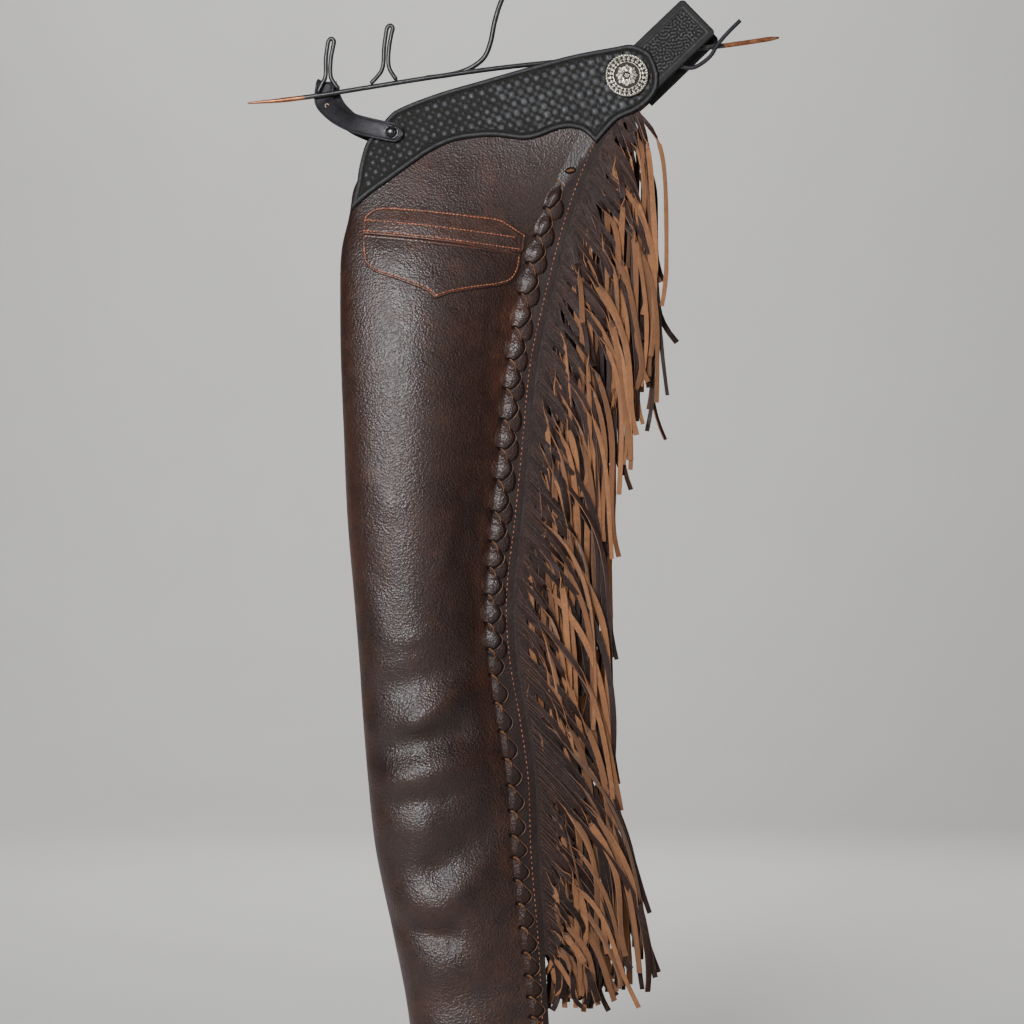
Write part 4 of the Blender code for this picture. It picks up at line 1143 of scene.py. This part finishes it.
class CHAPS_OT_belts(Operator):
    """Build both back belts with their tooled ground and smooth rims"""
    bl_idname = "chaps.belts"
    bl_label = "Back Belts"

    def execute(self, context):
        black = once("stamped_black_leather", stamped_leather)
        for half, side in SIDES:
            slip = (0.0, 0.0) if side > 0 else FAR_BELT_SLIP
            settle(self.belt(f"tooled_back_belt_{half}", slip, side, black), "belt_leather",
                   f"back_belt_{half}")
        return {"FINISHED"}

    def belt(self, name, slip, side, finish):
        start, end = np.array(BELT_START) + slip, np.array(BELT_END) + slip
        length = np.linalg.norm(end - start)
        along = (end - start) / length
        cross = np.array((along[1], -along[0]))
        columns, rows = 150, 80
        s = np.linspace(0, 1, columns)
        t = np.linspace(-1, 1, rows)[:, None]
        corner = np.clip((s * length - (length - 5.0)) / 5.0, 0, 1)
        half = BELT_WIDTH / 2 - 5.0 * (1 - np.sqrt(1 - corner**2 * 0.96))
        u, w = np.broadcast_arrays(s * length, t * half)
        across = start[0] + along[0] * u + cross[0] * w
        drop = start[1] + along[1] * u + cross[1] * w
        away = np.minimum(BELT_WIDTH / 2 - np.abs(w), length - u)
        away = np.minimum(away, half - np.abs(w))
        height, tone = self.tooling(u, w, away)
        level = seam_out(drop) + LEG_WALL / 2 + PANEL_LIFT - 0.3
        face = np.stack((across, drop, level + height), -1)
        rear = np.stack((across, drop, level - BELT_THICK + 0.5 * np.clip(1 - away / 1.2, 0, 1)), -1)
        pick = [0, 3, 8, 20, 40, 59, 71, 76, rows - 1]
        build = Build()
        build.add(face, grid_faces(rows, columns), tone=tone)
        build.add(rear[pick], grid_faces(len(pick), columns), tone=0.3)
        first, rim = rows * columns, []
        for i in range(columns - 1):
            a, b = (rows - 1) * columns + i, first + (len(pick) - 1) * columns + i
            rim += [[i, i + 1, first + i + 1, first + i], [a, a + 1, b + 1, b]]
        for i in (0, columns - 1):
            rim.append([r * columns + i for r in range(rows)]
                       + [first + r * columns + i for r in range(len(pick) - 1, -1, -1)])
        build.faces += rim
        build.slots.append(np.zeros(len(rim)))
        return build.make(name, (finish,), side, sharp=60)

    def tooling(self, u, w, away):
        """Generic worm-like grains between two smooth rims, each with a fine line inside."""
        chance = np.random.default_rng(3)
        wave = np.zeros(u.shape)
        for _ in range(26):
            angle = chance.normal(1.15, 0.62)
            number = 2 * np.pi / chance.uniform(2.9, 4.3)
            wave += np.cos(number * (u * math.cos(angle) + w * math.sin(angle))
                           + chance.uniform(0, 2 * np.pi))
        grain = np.tanh(wave / math.sqrt(26) * 2.6) * 0.5 + 0.5
        inside = ease((away - 8.4) / 1.0)
        height = (grain * 0.75 - 0.75) * inside
        height = height - 0.6 * np.exp(-((away - 7.6) / 0.7) ** 2)
        height = height + 0.3 * np.exp(-((away - 3.6) / 2.6) ** 2)
        height = height - 0.9 * np.clip(1 - away / 1.6, 0, 1) ** 2
        # Tone lights the grain tops and the fine line, partly waxed wear and partly painted highlight; the
        # ground stays dark as painted shade.
        tone = 0.30 * (1 - inside) + inside * (0.05 + 0.75 * grain**2)
        tone = np.maximum(tone, 0.8 * np.exp(-((away - 6.4) / 0.6) ** 2))
        return height, tone


class CHAPS_OT_conchos(Operator):
    """Build both conchos: a rope edge, a beaded ring and a plain rosette"""
    bl_idname = "chaps.conchos"
    bl_label = "Conchos"

    def execute(self, context):
        silver = once("antique_silver", antique_silver)
        for half, side in SIDES:
            thing = self.concho(f"rosette_concho_{half}", side, silver)
            settle(thing, "concho_metal", f"concho_{half}")
        return {"FINISHED"}

    def concho(self, name, side, finish):
        centre, _ = over_leg(*CONCHO_AT, PANEL_LIFT + YOKE_THICK + 0.6)
        normal = np.array((0.0, -SEAM_SLOPE, 1.0))
        normal /= np.linalg.norm(normal)
        down = np.cross(normal, (1.0, 0.0, 0.0))
        across = np.cross(down, normal)
        angle = np.linspace(0, 2 * np.pi, 200, endpoint=False)[None, :]
        r = np.concatenate(([0.4], np.linspace(1.0, 22.0, 62), [22.3, 22.3]))[:, None]
        height = 3.0 + 0.6 * np.cos(r / 22.3 * np.pi / 2)
        petals = np.abs(np.sin(angle * 4))
        reach = 4.6 + 6.2 * petals**0.55
        leaf = ease((reach - r) / 1.2) * ease((r - 3.2) / 1.2)
        vein = np.exp(-(((petals - 1) * r * 0.9) / 0.6) ** 2) * 0.4
        back_petals = np.abs(np.cos(angle * 4))
        back_leaf = ease((5.0 + 7.2 * back_petals**0.8 - r) / 1.2) * ease((r - 3.2) / 1.0)
        boss = ease((3.1 - r) / 0.9) * (1 - 0.25 * np.cos(angle * 8) * (r > 1.2))
        detail = np.maximum(leaf * (1 - vein), back_leaf * 0.55)
        detail = np.maximum(detail, boss)
        ring = np.exp(-((r - 14.0) / 0.65) ** 2) * 0.8
        scallop = np.abs(np.sin(angle * 12 + 0.2))
        shells = ease((scallop * 3.6 - np.abs(r - 17.0)) / 1.2) * 0.85
        shells = shells * (0.75 + 0.25 * np.cos((r - 17.0) * 2.6))
        rope = np.clip(1 - ((r - 21.0) / 1.35) ** 2, 0, 1) ** 0.5
        rope = rope * (0.62 + 0.38 * np.cos(angle * 46 + r * 2.4))
        detail = np.maximum(np.maximum(detail, ring), np.maximum(shells, rope))
        detail = detail * (0.86 + 0.14 * np.sin(angle * 7 + r))
        height = height - 0.9 + detail * 0.95
        height[-2] = 1.4
        height[-1] = 0.0
        spoke = across * np.cos(angle)[..., None] + down * np.sin(angle)[..., None]
        points = centre + spoke * r[..., None] + normal * np.broadcast_to(height, detail.shape)[..., None]
        tone = np.clip(detail, 0, 1)
        tone[-2:] = 0.35
        tone[0] = 0.9
        rows, columns = detail.shape
        faces = grid_faces(rows, columns, closed=True).tolist()
        faces += [list(range(columns)), list(range((rows - 1) * columns, rows * columns))]
        return Build().add(points, faces, tone=tone).make(name, (finish,), side, sharp=60)


class CHAPS_OT_fringe(Operator):
    """Build the fringe of both legs: strands cut from one strip, twisted and hanging"""
    bl_idname = "chaps.fringe"
    bl_label = "Fringe"

    def execute(self, context):
        finishes = (once("fringe_suede_side", suede_side), once("fringe_grain_side", grain_side))
        thread = once("rust_thread", rust_thread)
        for half, side in SIDES:
            build = Build()
            self.strip(build)
            chance = np.random.default_rng(40 if side > 0 else 77)
            count = context.scene.chaps_sizes.strands
            fine = np.linspace(FIRST_ROOT, LAST_ROOT, 400)
            run = np.concatenate(([0.0], np.cumsum(np.hypot(np.diff(leg(EDGE, fine)), fine[1] - fine[0]))))
            roots = np.interp((np.arange(count) + 0.5) / count * run[-1], run, fine)
            for root in roots[::2]:
                self.strand(build, root + 1.5, chance, context.scene.chaps_sizes, 5.0)
            for root in roots:
                self.strand(build, root, chance, context.scene.chaps_sizes)
            thing = build.make(f"suede_fringe_{half}", finishes, side, sharp=45)
            settle(thing, "fringe_suede", f"fringe_{half}")
            self.flange_thread(f"flange_thread_{half}", thread, side)
        return {"FINISHED"}

    def strip(self, build):
        """The uncut edge of the fringe leather that the flange is sewn to."""
        drop = np.linspace(FIRST_ROOT - 1, LAST_ROOT, 150)[:, None]
        profile = np.array([(-7.5, 0.5), (-3.0, 0.95), (8.0, -0.6), (8.0, -1.9), (-7.5, -0.8)])
        across = leg(EDGE, drop) + profile[:, 0]
        out = seam_out(drop) + profile[:, 1]
        points = np.stack(np.broadcast_arrays(across, drop, out), -1)
        faces = grid_faces(150, 5, closed=True).tolist()
        slots = [1, 1, 0, 0, 0] * 149 + [0, 0]
        faces += [list(range(5)), list(range(745, 750))]
        build.add(points, faces, slot=slots, tone=0.4)

    def strand(self, build, root, chance, sizes, behind=0.0):
        steps = 22
        share = np.linspace(0, 1, steps) ** 1.15
        length = float(smooth_read(FRINGE[:, 0], FRINGE[:, 1], root)) * chance.uniform(0.74, 1.0)
        reach = float(smooth_read(FRINGE[:, 0], FRINGE[:, 2], root)) * (0.08 + 0.94 * chance.random() ** 1.6)
        quick = max(chance.uniform(0.10, 0.34), (reach + 3.0) / (length * 1.05))
        swing = np.tanh(share / quick)
        across = leg(EDGE, root) - 3.0 + (reach + 3.0) * swing
        wave = chance.uniform(0.6, 2.4) * np.sin(share * chance.uniform(4, 11) + chance.uniform(0, 6))
        flick = chance.normal(0, 6.0) * np.clip((share - 0.78) / 0.22, 0, 1) ** 2
        across = across + (wave + flick) * ease(share * 3)
        drop = root + length * share
        turned = 0.0 if behind else chance.random()
        behind = behind + (2.2 if turned < 0.22 else 0.0)
        depth = seam_out(root) - 0.03 * (drop - root)
        depth = depth + (chance.normal(0, 2.6) - behind) * ease(share * 2.5)
        depth = depth + chance.uniform(0.5, 2.2) * np.sin(share * chance.uniform(5, 12)) * ease(share * 4)
        route = np.stack((across, drop, depth), -1)
        begins = chance.uniform(0.05, 0.26)
        takes = chance.uniform(0.08, 0.22)
        amount = 0.0
        if turned > 0.22:
            amount = math.radians(chance.uniform(135, 205)) * chance.choice((-1, 1))
        twist = amount * ease((share - begins) / takes)
        if turned > 0.88:
            twist = twist - amount * ease((share - begins - takes - 0.15) / 0.2)
        twist = twist + math.radians(chance.uniform(-28, 28)) * np.sin(share * chance.uniform(3, 8))
        twist = twist + math.radians(13) * (1 - ease(share * 5))
        twist = twist + math.radians(chance.uniform(-14, 14)) * ease(share * 5)
        wide = sizes.strand_width / MM * chance.uniform(0.70, 1.15)
        root_wide = 5.0 - wide
        wide = wide * (1 + 0.06 * np.sin(share * 19 + root)) + root_wide * (1 - ease(share * 3.5))
        thick = sizes.strand_thickness / MM / 2
        cup = chance.uniform(-0.5, 0.5)
        half = wide / 2
        flat = np.array([(-1.0, 0.0), (-0.93, 1.0), (0.0, 1.0), (0.93, 1.0),
                         (1.0, 0.0), (0.93, -1.0), (0.0, -1.0), (-0.93, -1.0)])
        bow = cup * (1 - flat[:, 0] ** 2)
        x = half[:, None] * flat[:, 0]
        y = np.broadcast_to(thick * flat[:, 1] + bow, x.shape)
        cosine, sine = np.cos(twist)[:, None], np.sin(twist)[:, None]
        profile = np.stack((x * cosine - y * sine, x * sine + y * cosine), -1)
        tone = np.full(steps, np.clip(chance.normal(0.56, 0.30), 0, 1))
        # Painted shade near each strand's root, passed on in the wear attribute.
        shaded = 0.55 * np.clip(1 - share * 5, 0, 1)
        add_ribbon(build, route, (0.0, 0.0, 1.0), profile, slots=[0, 1, 1, 0, 0, 0, 0, 0], tone=tone,
                   wear=np.broadcast_to(shaded[:, None], (steps, 8)))

    def flange_thread(self, name, finish, side):
        """One long row of stitches down the flange."""
        drop = np.linspace(200, 1150, 500)
        across = flange_edge(drop) - 6.5 + 0.5 * np.sin(drop / 40)
        line = np.stack((across, drop, seam_out(drop) + LEG_WALL / 2 + 0.15), -1)
        normals = np.broadcast_to((0.0, 0.0, 1.0), line.shape)
        build = Build()
        add_stitches(build, line, normals, 5.4, 2.6, 0.9)
        thing = build.make(name, (finish,), side)
        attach(thing, "root")


class CHAPS_OT_straps(Operator):
    """Build the front strap over the rod, the rivets and the back lace"""
    bl_idname = "chaps.straps"
    bl_label = "Straps and Lace"

    def execute(self, context):
        leather = once("waxed_strap_leather", strap_leather)
        metal = once("black_rivet_metal", black_metal)
        settle(self.strap(leather), "strap_leather", "front_strap")
        for half, side in SIDES:
            settle(self.rivet(f"domed_rivet_{half}", side, metal), "rivet_metal", f"rivet_{half}")
        self.lace(leather)
        return {"FINISHED"}

    def strap(self, finish):
        spots = [np.array(p, float) for p in STRAP_NEAR]
        ways = [np.array((0.0, 0.0, 1.0))] * len(STRAP_NEAR)
        fold = np.array(STRAP_FOLD_AT)
        for i in range(5):
            angle = math.pi * i / 4
            way = np.array((0.0, -math.sin(angle), math.cos(angle)))
            spots.append(fold + (3.0 * i / 4, 0, 0) + way * STRAP_FOLD_RADIUS)
            ways.append(way)
        spots += [np.array(p, float) for p in STRAP_FAR]
        ways += [np.array((0.0, 0.0, -1.0))] * len(STRAP_FAR)
        spots, ways = np.array(spots), np.array(ways)
        keys = np.arange(len(spots), dtype=float)
        at = np.linspace(0, len(spots) - 1, 150)
        route = np.stack([smooth_read(keys, spots[:, i], at) for i in range(3)], -1)
        way = np.stack([np.interp(at, keys, ways[:, i]) for i in range(3)], -1)
        way /= np.linalg.norm(way, axis=1, keepdims=True)
        half, thick = STRAP_WIDE / 2, STRAP_THICK / 2
        front = [(-1.0, 0.1), (-0.985, 0.7), (-0.93, 1.0), (-0.84, 1.02), (-0.78, 0.9), (-0.75, 0.62),
                 (-0.71, 0.78), (-0.4, 0.9), (0, 0.93), (0.4, 0.9), (0.71, 0.78), (0.75, 0.62),
                 (0.78, 0.9), (0.84, 1.02), (0.93, 1.0), (0.985, 0.7), (1.0, 0.1)]
        back = [(0.99, -0.7), (0.93, -1.0), (0.0, -1.0), (-0.93, -1.0), (-0.99, -0.7)]
        profile = np.array(front + back) * (half, thick)
        run = np.concatenate(([0.0], np.cumsum(np.linalg.norm(np.diff(route, axis=0), axis=1))))
        end = np.minimum(run, run[-1] - run) / half
        narrow = np.sqrt(np.clip(1 - (1 - np.clip(end, 0, 1)) ** 2, 0.02, 1))
        profile = profile[None] * np.stack((narrow, np.ones(len(run))), -1)[:, None]
        build = Build()
        add_ribbon(build, route, way, profile, tone=0.5)
        hole_at = route[44] + way[44] * (thick + 0.1)
        angle = np.linspace(0, 2 * np.pi, 20)
        ring = hole_at + np.stack((1.9 * np.cos(angle), 1.9 * np.sin(angle), 0 * angle), -1)
        add_tube(build, ring, 0.5, 6, tone=0.5, wear=1.0)
        return build.make("waxed_front_strap", (finish,), 1, sharp=50)

    def rivet(self, name, side, finish):
        out = abs(STRAP_NEAR[1][2]) + STRAP_THICK / 2 + 0.15
        profile = [(7.4, 0.0), (7.5, 0.35), (7.2, 0.7), (6.4, 0.75), (6.0, 0.55), (5.7, 0.5),
                   (5.6, 0.9), (5.3, 1.6), (4.6, 2.2), (3.4, 2.75), (2.0, 3.05), (0.6, 3.15)]
        angle = np.linspace(0, 2 * np.pi, 40, endpoint=False)
        rings = np.array(profile)
        points = np.stack(np.broadcast_arrays(
            RIVET_AT[0] + rings[:, :1] * np.cos(angle), RIVET_AT[1] + rings[:, :1] * np.sin(angle),
            out + rings[:, 1:]), -1)
        faces = grid_faces(len(rings), 40, closed=True).tolist()
        faces += [list(range(40)), list(range((len(rings) - 1) * 40, len(rings) * 40))]
        return Build().add(points, faces).make(name, (finish,), side, sharp=50)

    def lace(self, finish):
        route = smooth_line(LACE, 40)
        curve = bpy.data.curves.new("back_thong", "CURVE")
        curve.dimensions = "3D"
        curve.bevel_depth = LACE_RADIUS * MM
        curve.bevel_resolution = 5
        curve.use_fill_caps = True
        spline = curve.splines.new("POLY")
        spline.points.add(len(route) - 1)
        for target, point in zip(spline.points, route):
            target.co = (point[0] * MM, -point[2] * MM, -point[1] * MM, 1.0)
        spline.use_smooth = True
        curve.materials.append(finish)
        thing = bpy.data.objects.new("back_thong", curve)
        bpy.context.scene.collection.objects.link(thing)
        settle(thing, "strap_leather", "back_lace")


class CHAPS_OT_hanger(Operator):
    """Build the wire hanger: the rod, the stem with its hook and two prongs"""
    bl_idname = "chaps.hanger"
    bl_label = "Wire Hanger"

    def execute(self, context):
        wire = once("black_hanger_wire", hanger_wire)
        rod = smooth_line(ROD, 160)
        along = np.linspace(0, 1, 160)
        radius = ROD_RADIUS * np.interp(along, (0, 0.03, 0.07, 0.985, 1), (0.4, 0.7, 1, 1, 0.45))
        bare = np.maximum(ease((-205 - rod[:, 0]) / 14), ease((232 - rod[:, 0]) / -14 + 1.0))
        self.wire("copper_worn_rod", rod, radius, wire, "hanger_rod", bare)
        angle = HOOK_START + HOOK_TURN * np.linspace(0, 1, 60)
        hook = np.stack((HOOK_RADIUS * np.cos(angle),
                         HOOK_RADIUS - STEM_RADIUS - HOOK_RADIUS * np.sin(angle), 0 * angle), -1)
        stem = np.concatenate((smooth_line(STEM + [tuple(hook[0])], 70)[:-1], hook))
        self.wire("hook_and_stem", stem, STEM_RADIUS, wire, "hanger_stem", 0.15)
        for name, route, node in (("front_prong_wire", PRONG_FRONT, "hanger_prong_front"),
                                  ("middle_prong_wire", PRONG_MIDDLE, "hanger_prong_middle")):
            self.wire(name, smooth_line(route, 90), PRONG_RADIUS, wire, node, 0.05)
        return {"FINISHED"}

    def wire(self, name, route, radius, finish, node, bare):
        build = Build()
        sides = 14
        count = len(route) + 4
        bare = np.broadcast_to(bare, len(route))
        bare = np.concatenate((bare[:1], bare[:1], bare, bare[-1:], bare[-1:]))
        add_tube(build, route, radius, sides, wear=np.repeat(bare, sides))
        if len(bare) != count:
            raise RuntimeError(f"{name} has a wear value missing")
        settle(build.make(name, (finish,), 1), "hanger_wire", node)


class CHAPS_OT_stage(Operator):
    """Set up the camera, the floor with its sweep and the soft lights"""
    bl_idname = "chaps.stage"
    bl_label = "Camera, Floor and Lights"

    def execute(self, context):
        scene = context.scene
        view = bpy.data.cameras.new("front_view")
        view.sensor_width = 36.0
        view.lens = 101.4
        view.clip_start = 0.05
        view.clip_end = 60.0
        camera = bpy.data.objects.new("front_view", view)
        camera.location = (0.00416, -3.0, -0.6053)
        camera.rotation_euler = (math.pi / 2, 0.0, 0.0)
        scene.collection.objects.link(camera)
        scene.camera = camera
        self.ground()
        power = scene.chaps_sizes.light_power
        self.light("key", (-0.75, -2.35, 0.30), (-0.06, 0.0, -0.42), (0.85, 0.8), power * 1.35,
                   (0.95, 0.97, 1.0))
        self.light("side", (-1.60, -1.8, -0.05), (-0.10, 0.0, -0.40), (0.6, 0.9), power * 0.16,
                   (0.98, 0.99, 1.0))
        self.light("fill", (1.60, -2.1, 0.0), (0.02, 0.0, -0.42), (0.5, 0.9), power * 0.13,
                   (1.0, 0.97, 0.93))
        self.light("top", (0.1, 0.2, 1.3), (0.0, 0.0, -0.5), (1.6, 1.2), power * 0.10,
                   (1.0, 1.0, 1.0))
        self.light("back", (0.4, 2.6, 0.4), (0.0, 0.0, -0.6), (2.2, 1.6), power * 0.26,
                   (1.0, 1.0, 1.0))
        self.light("backdrop", (-0.3, 1.9, 1.9), (0.0, 4.6, -0.6), (2.6, 1.2), power * 1.3,
                   (1.0, 1.0, 1.0))
        world = bpy.data.worlds.new("soft_sky")
        world.use_nodes = True
        world.node_tree.nodes["Background"].inputs["Color"].default_value = (0.80, 0.82, 0.85, 1)
        world.node_tree.nodes["Background"].inputs["Strength"].default_value = 0.08
        scene.world = world
        return {"FINISHED"}

    def ground(self):
        """A floor that curves up into a backdrop, far enough away to walk round the object."""
        low, back, radius = -1.28, 4.6, 1.5
        line = [(-30.0, low), (-2.0, low)]
        line += [(back - radius + radius * math.sin(a), low + radius - radius * math.cos(a))
                 for a in np.linspace(0, math.pi / 2, 14)]
        line.append((back, 3.6))
        across = (-30.0, 30.0)
        points = [(x, y, z) for y, z in line for x in across]
        mesh = bpy.data.meshes.new("studio_floor")
        mesh.from_pydata(points, [], grid_faces(len(line), 2).tolist())
        mesh.shade_smooth()
        mesh.materials.append(once("pale_ground", lambda name: plain_ground(name, (0.66, 0.65, 0.63))))
        floor = bpy.data.objects.new("studio_floor", mesh)
        bpy.context.scene.collection.objects.link(floor)

    def light(self, name, place, aim, size, power, colour):
        lamp = bpy.data.lights.new(name, "AREA")
        lamp.shape = "ELLIPSE"
        lamp.size, lamp.size_y = size
        lamp.energy = power
        lamp.color = colour
        thing = bpy.data.objects.new(name, lamp)
        thing.location = place
        thing.rotation_euler = (Vector(aim) - Vector(place)).to_track_quat("-Z", "Y").to_euler()
        bpy.context.scene.collection.objects.link(thing)


STEPS = (CHAPS_OT_stage, CHAPS_OT_straps, CHAPS_OT_hanger, CHAPS_OT_legs, CHAPS_OT_yokes,
         CHAPS_OT_pockets, CHAPS_OT_belts, CHAPS_OT_conchos, CHAPS_OT_braids, CHAPS_OT_fringe)


class CHAPS_PT_sidebar(Panel):
    bl_label = "Chaps"
    bl_idname = "CHAPS_PT_sidebar"
    bl_space_type = "VIEW_3D"
    bl_region_type = "UI"
    bl_category = "Chaps"

    def draw(self, context):
        for group in (context.scene.chaps_sizes, context.scene.chaps_colours):
            for name in group.__annotations__:
                self.layout.prop(group, name)
        for step in STEPS:
            self.layout.operator(step.bl_idname)


CLASSES = (ChapsSizes, ChapsColours, *STEPS, CHAPS_PT_sidebar)


def register():
    for item in CLASSES:
        bpy.utils.register_class(item)
    bpy.types.Scene.chaps_sizes = PointerProperty(type=ChapsSizes)
    bpy.types.Scene.chaps_colours = PointerProperty(type=ChapsColours)


def unregister():
    del bpy.types.Scene.chaps_colours
    del bpy.types.Scene.chaps_sizes
    for item in reversed(CLASSES):
        bpy.utils.unregister_class(item)


def main():
    register()
    for step in STEPS:
        group, name = step.bl_idname.split(".")
        getattr(getattr(bpy.ops, group), name)()


if __name__ == "__main__":
    main()
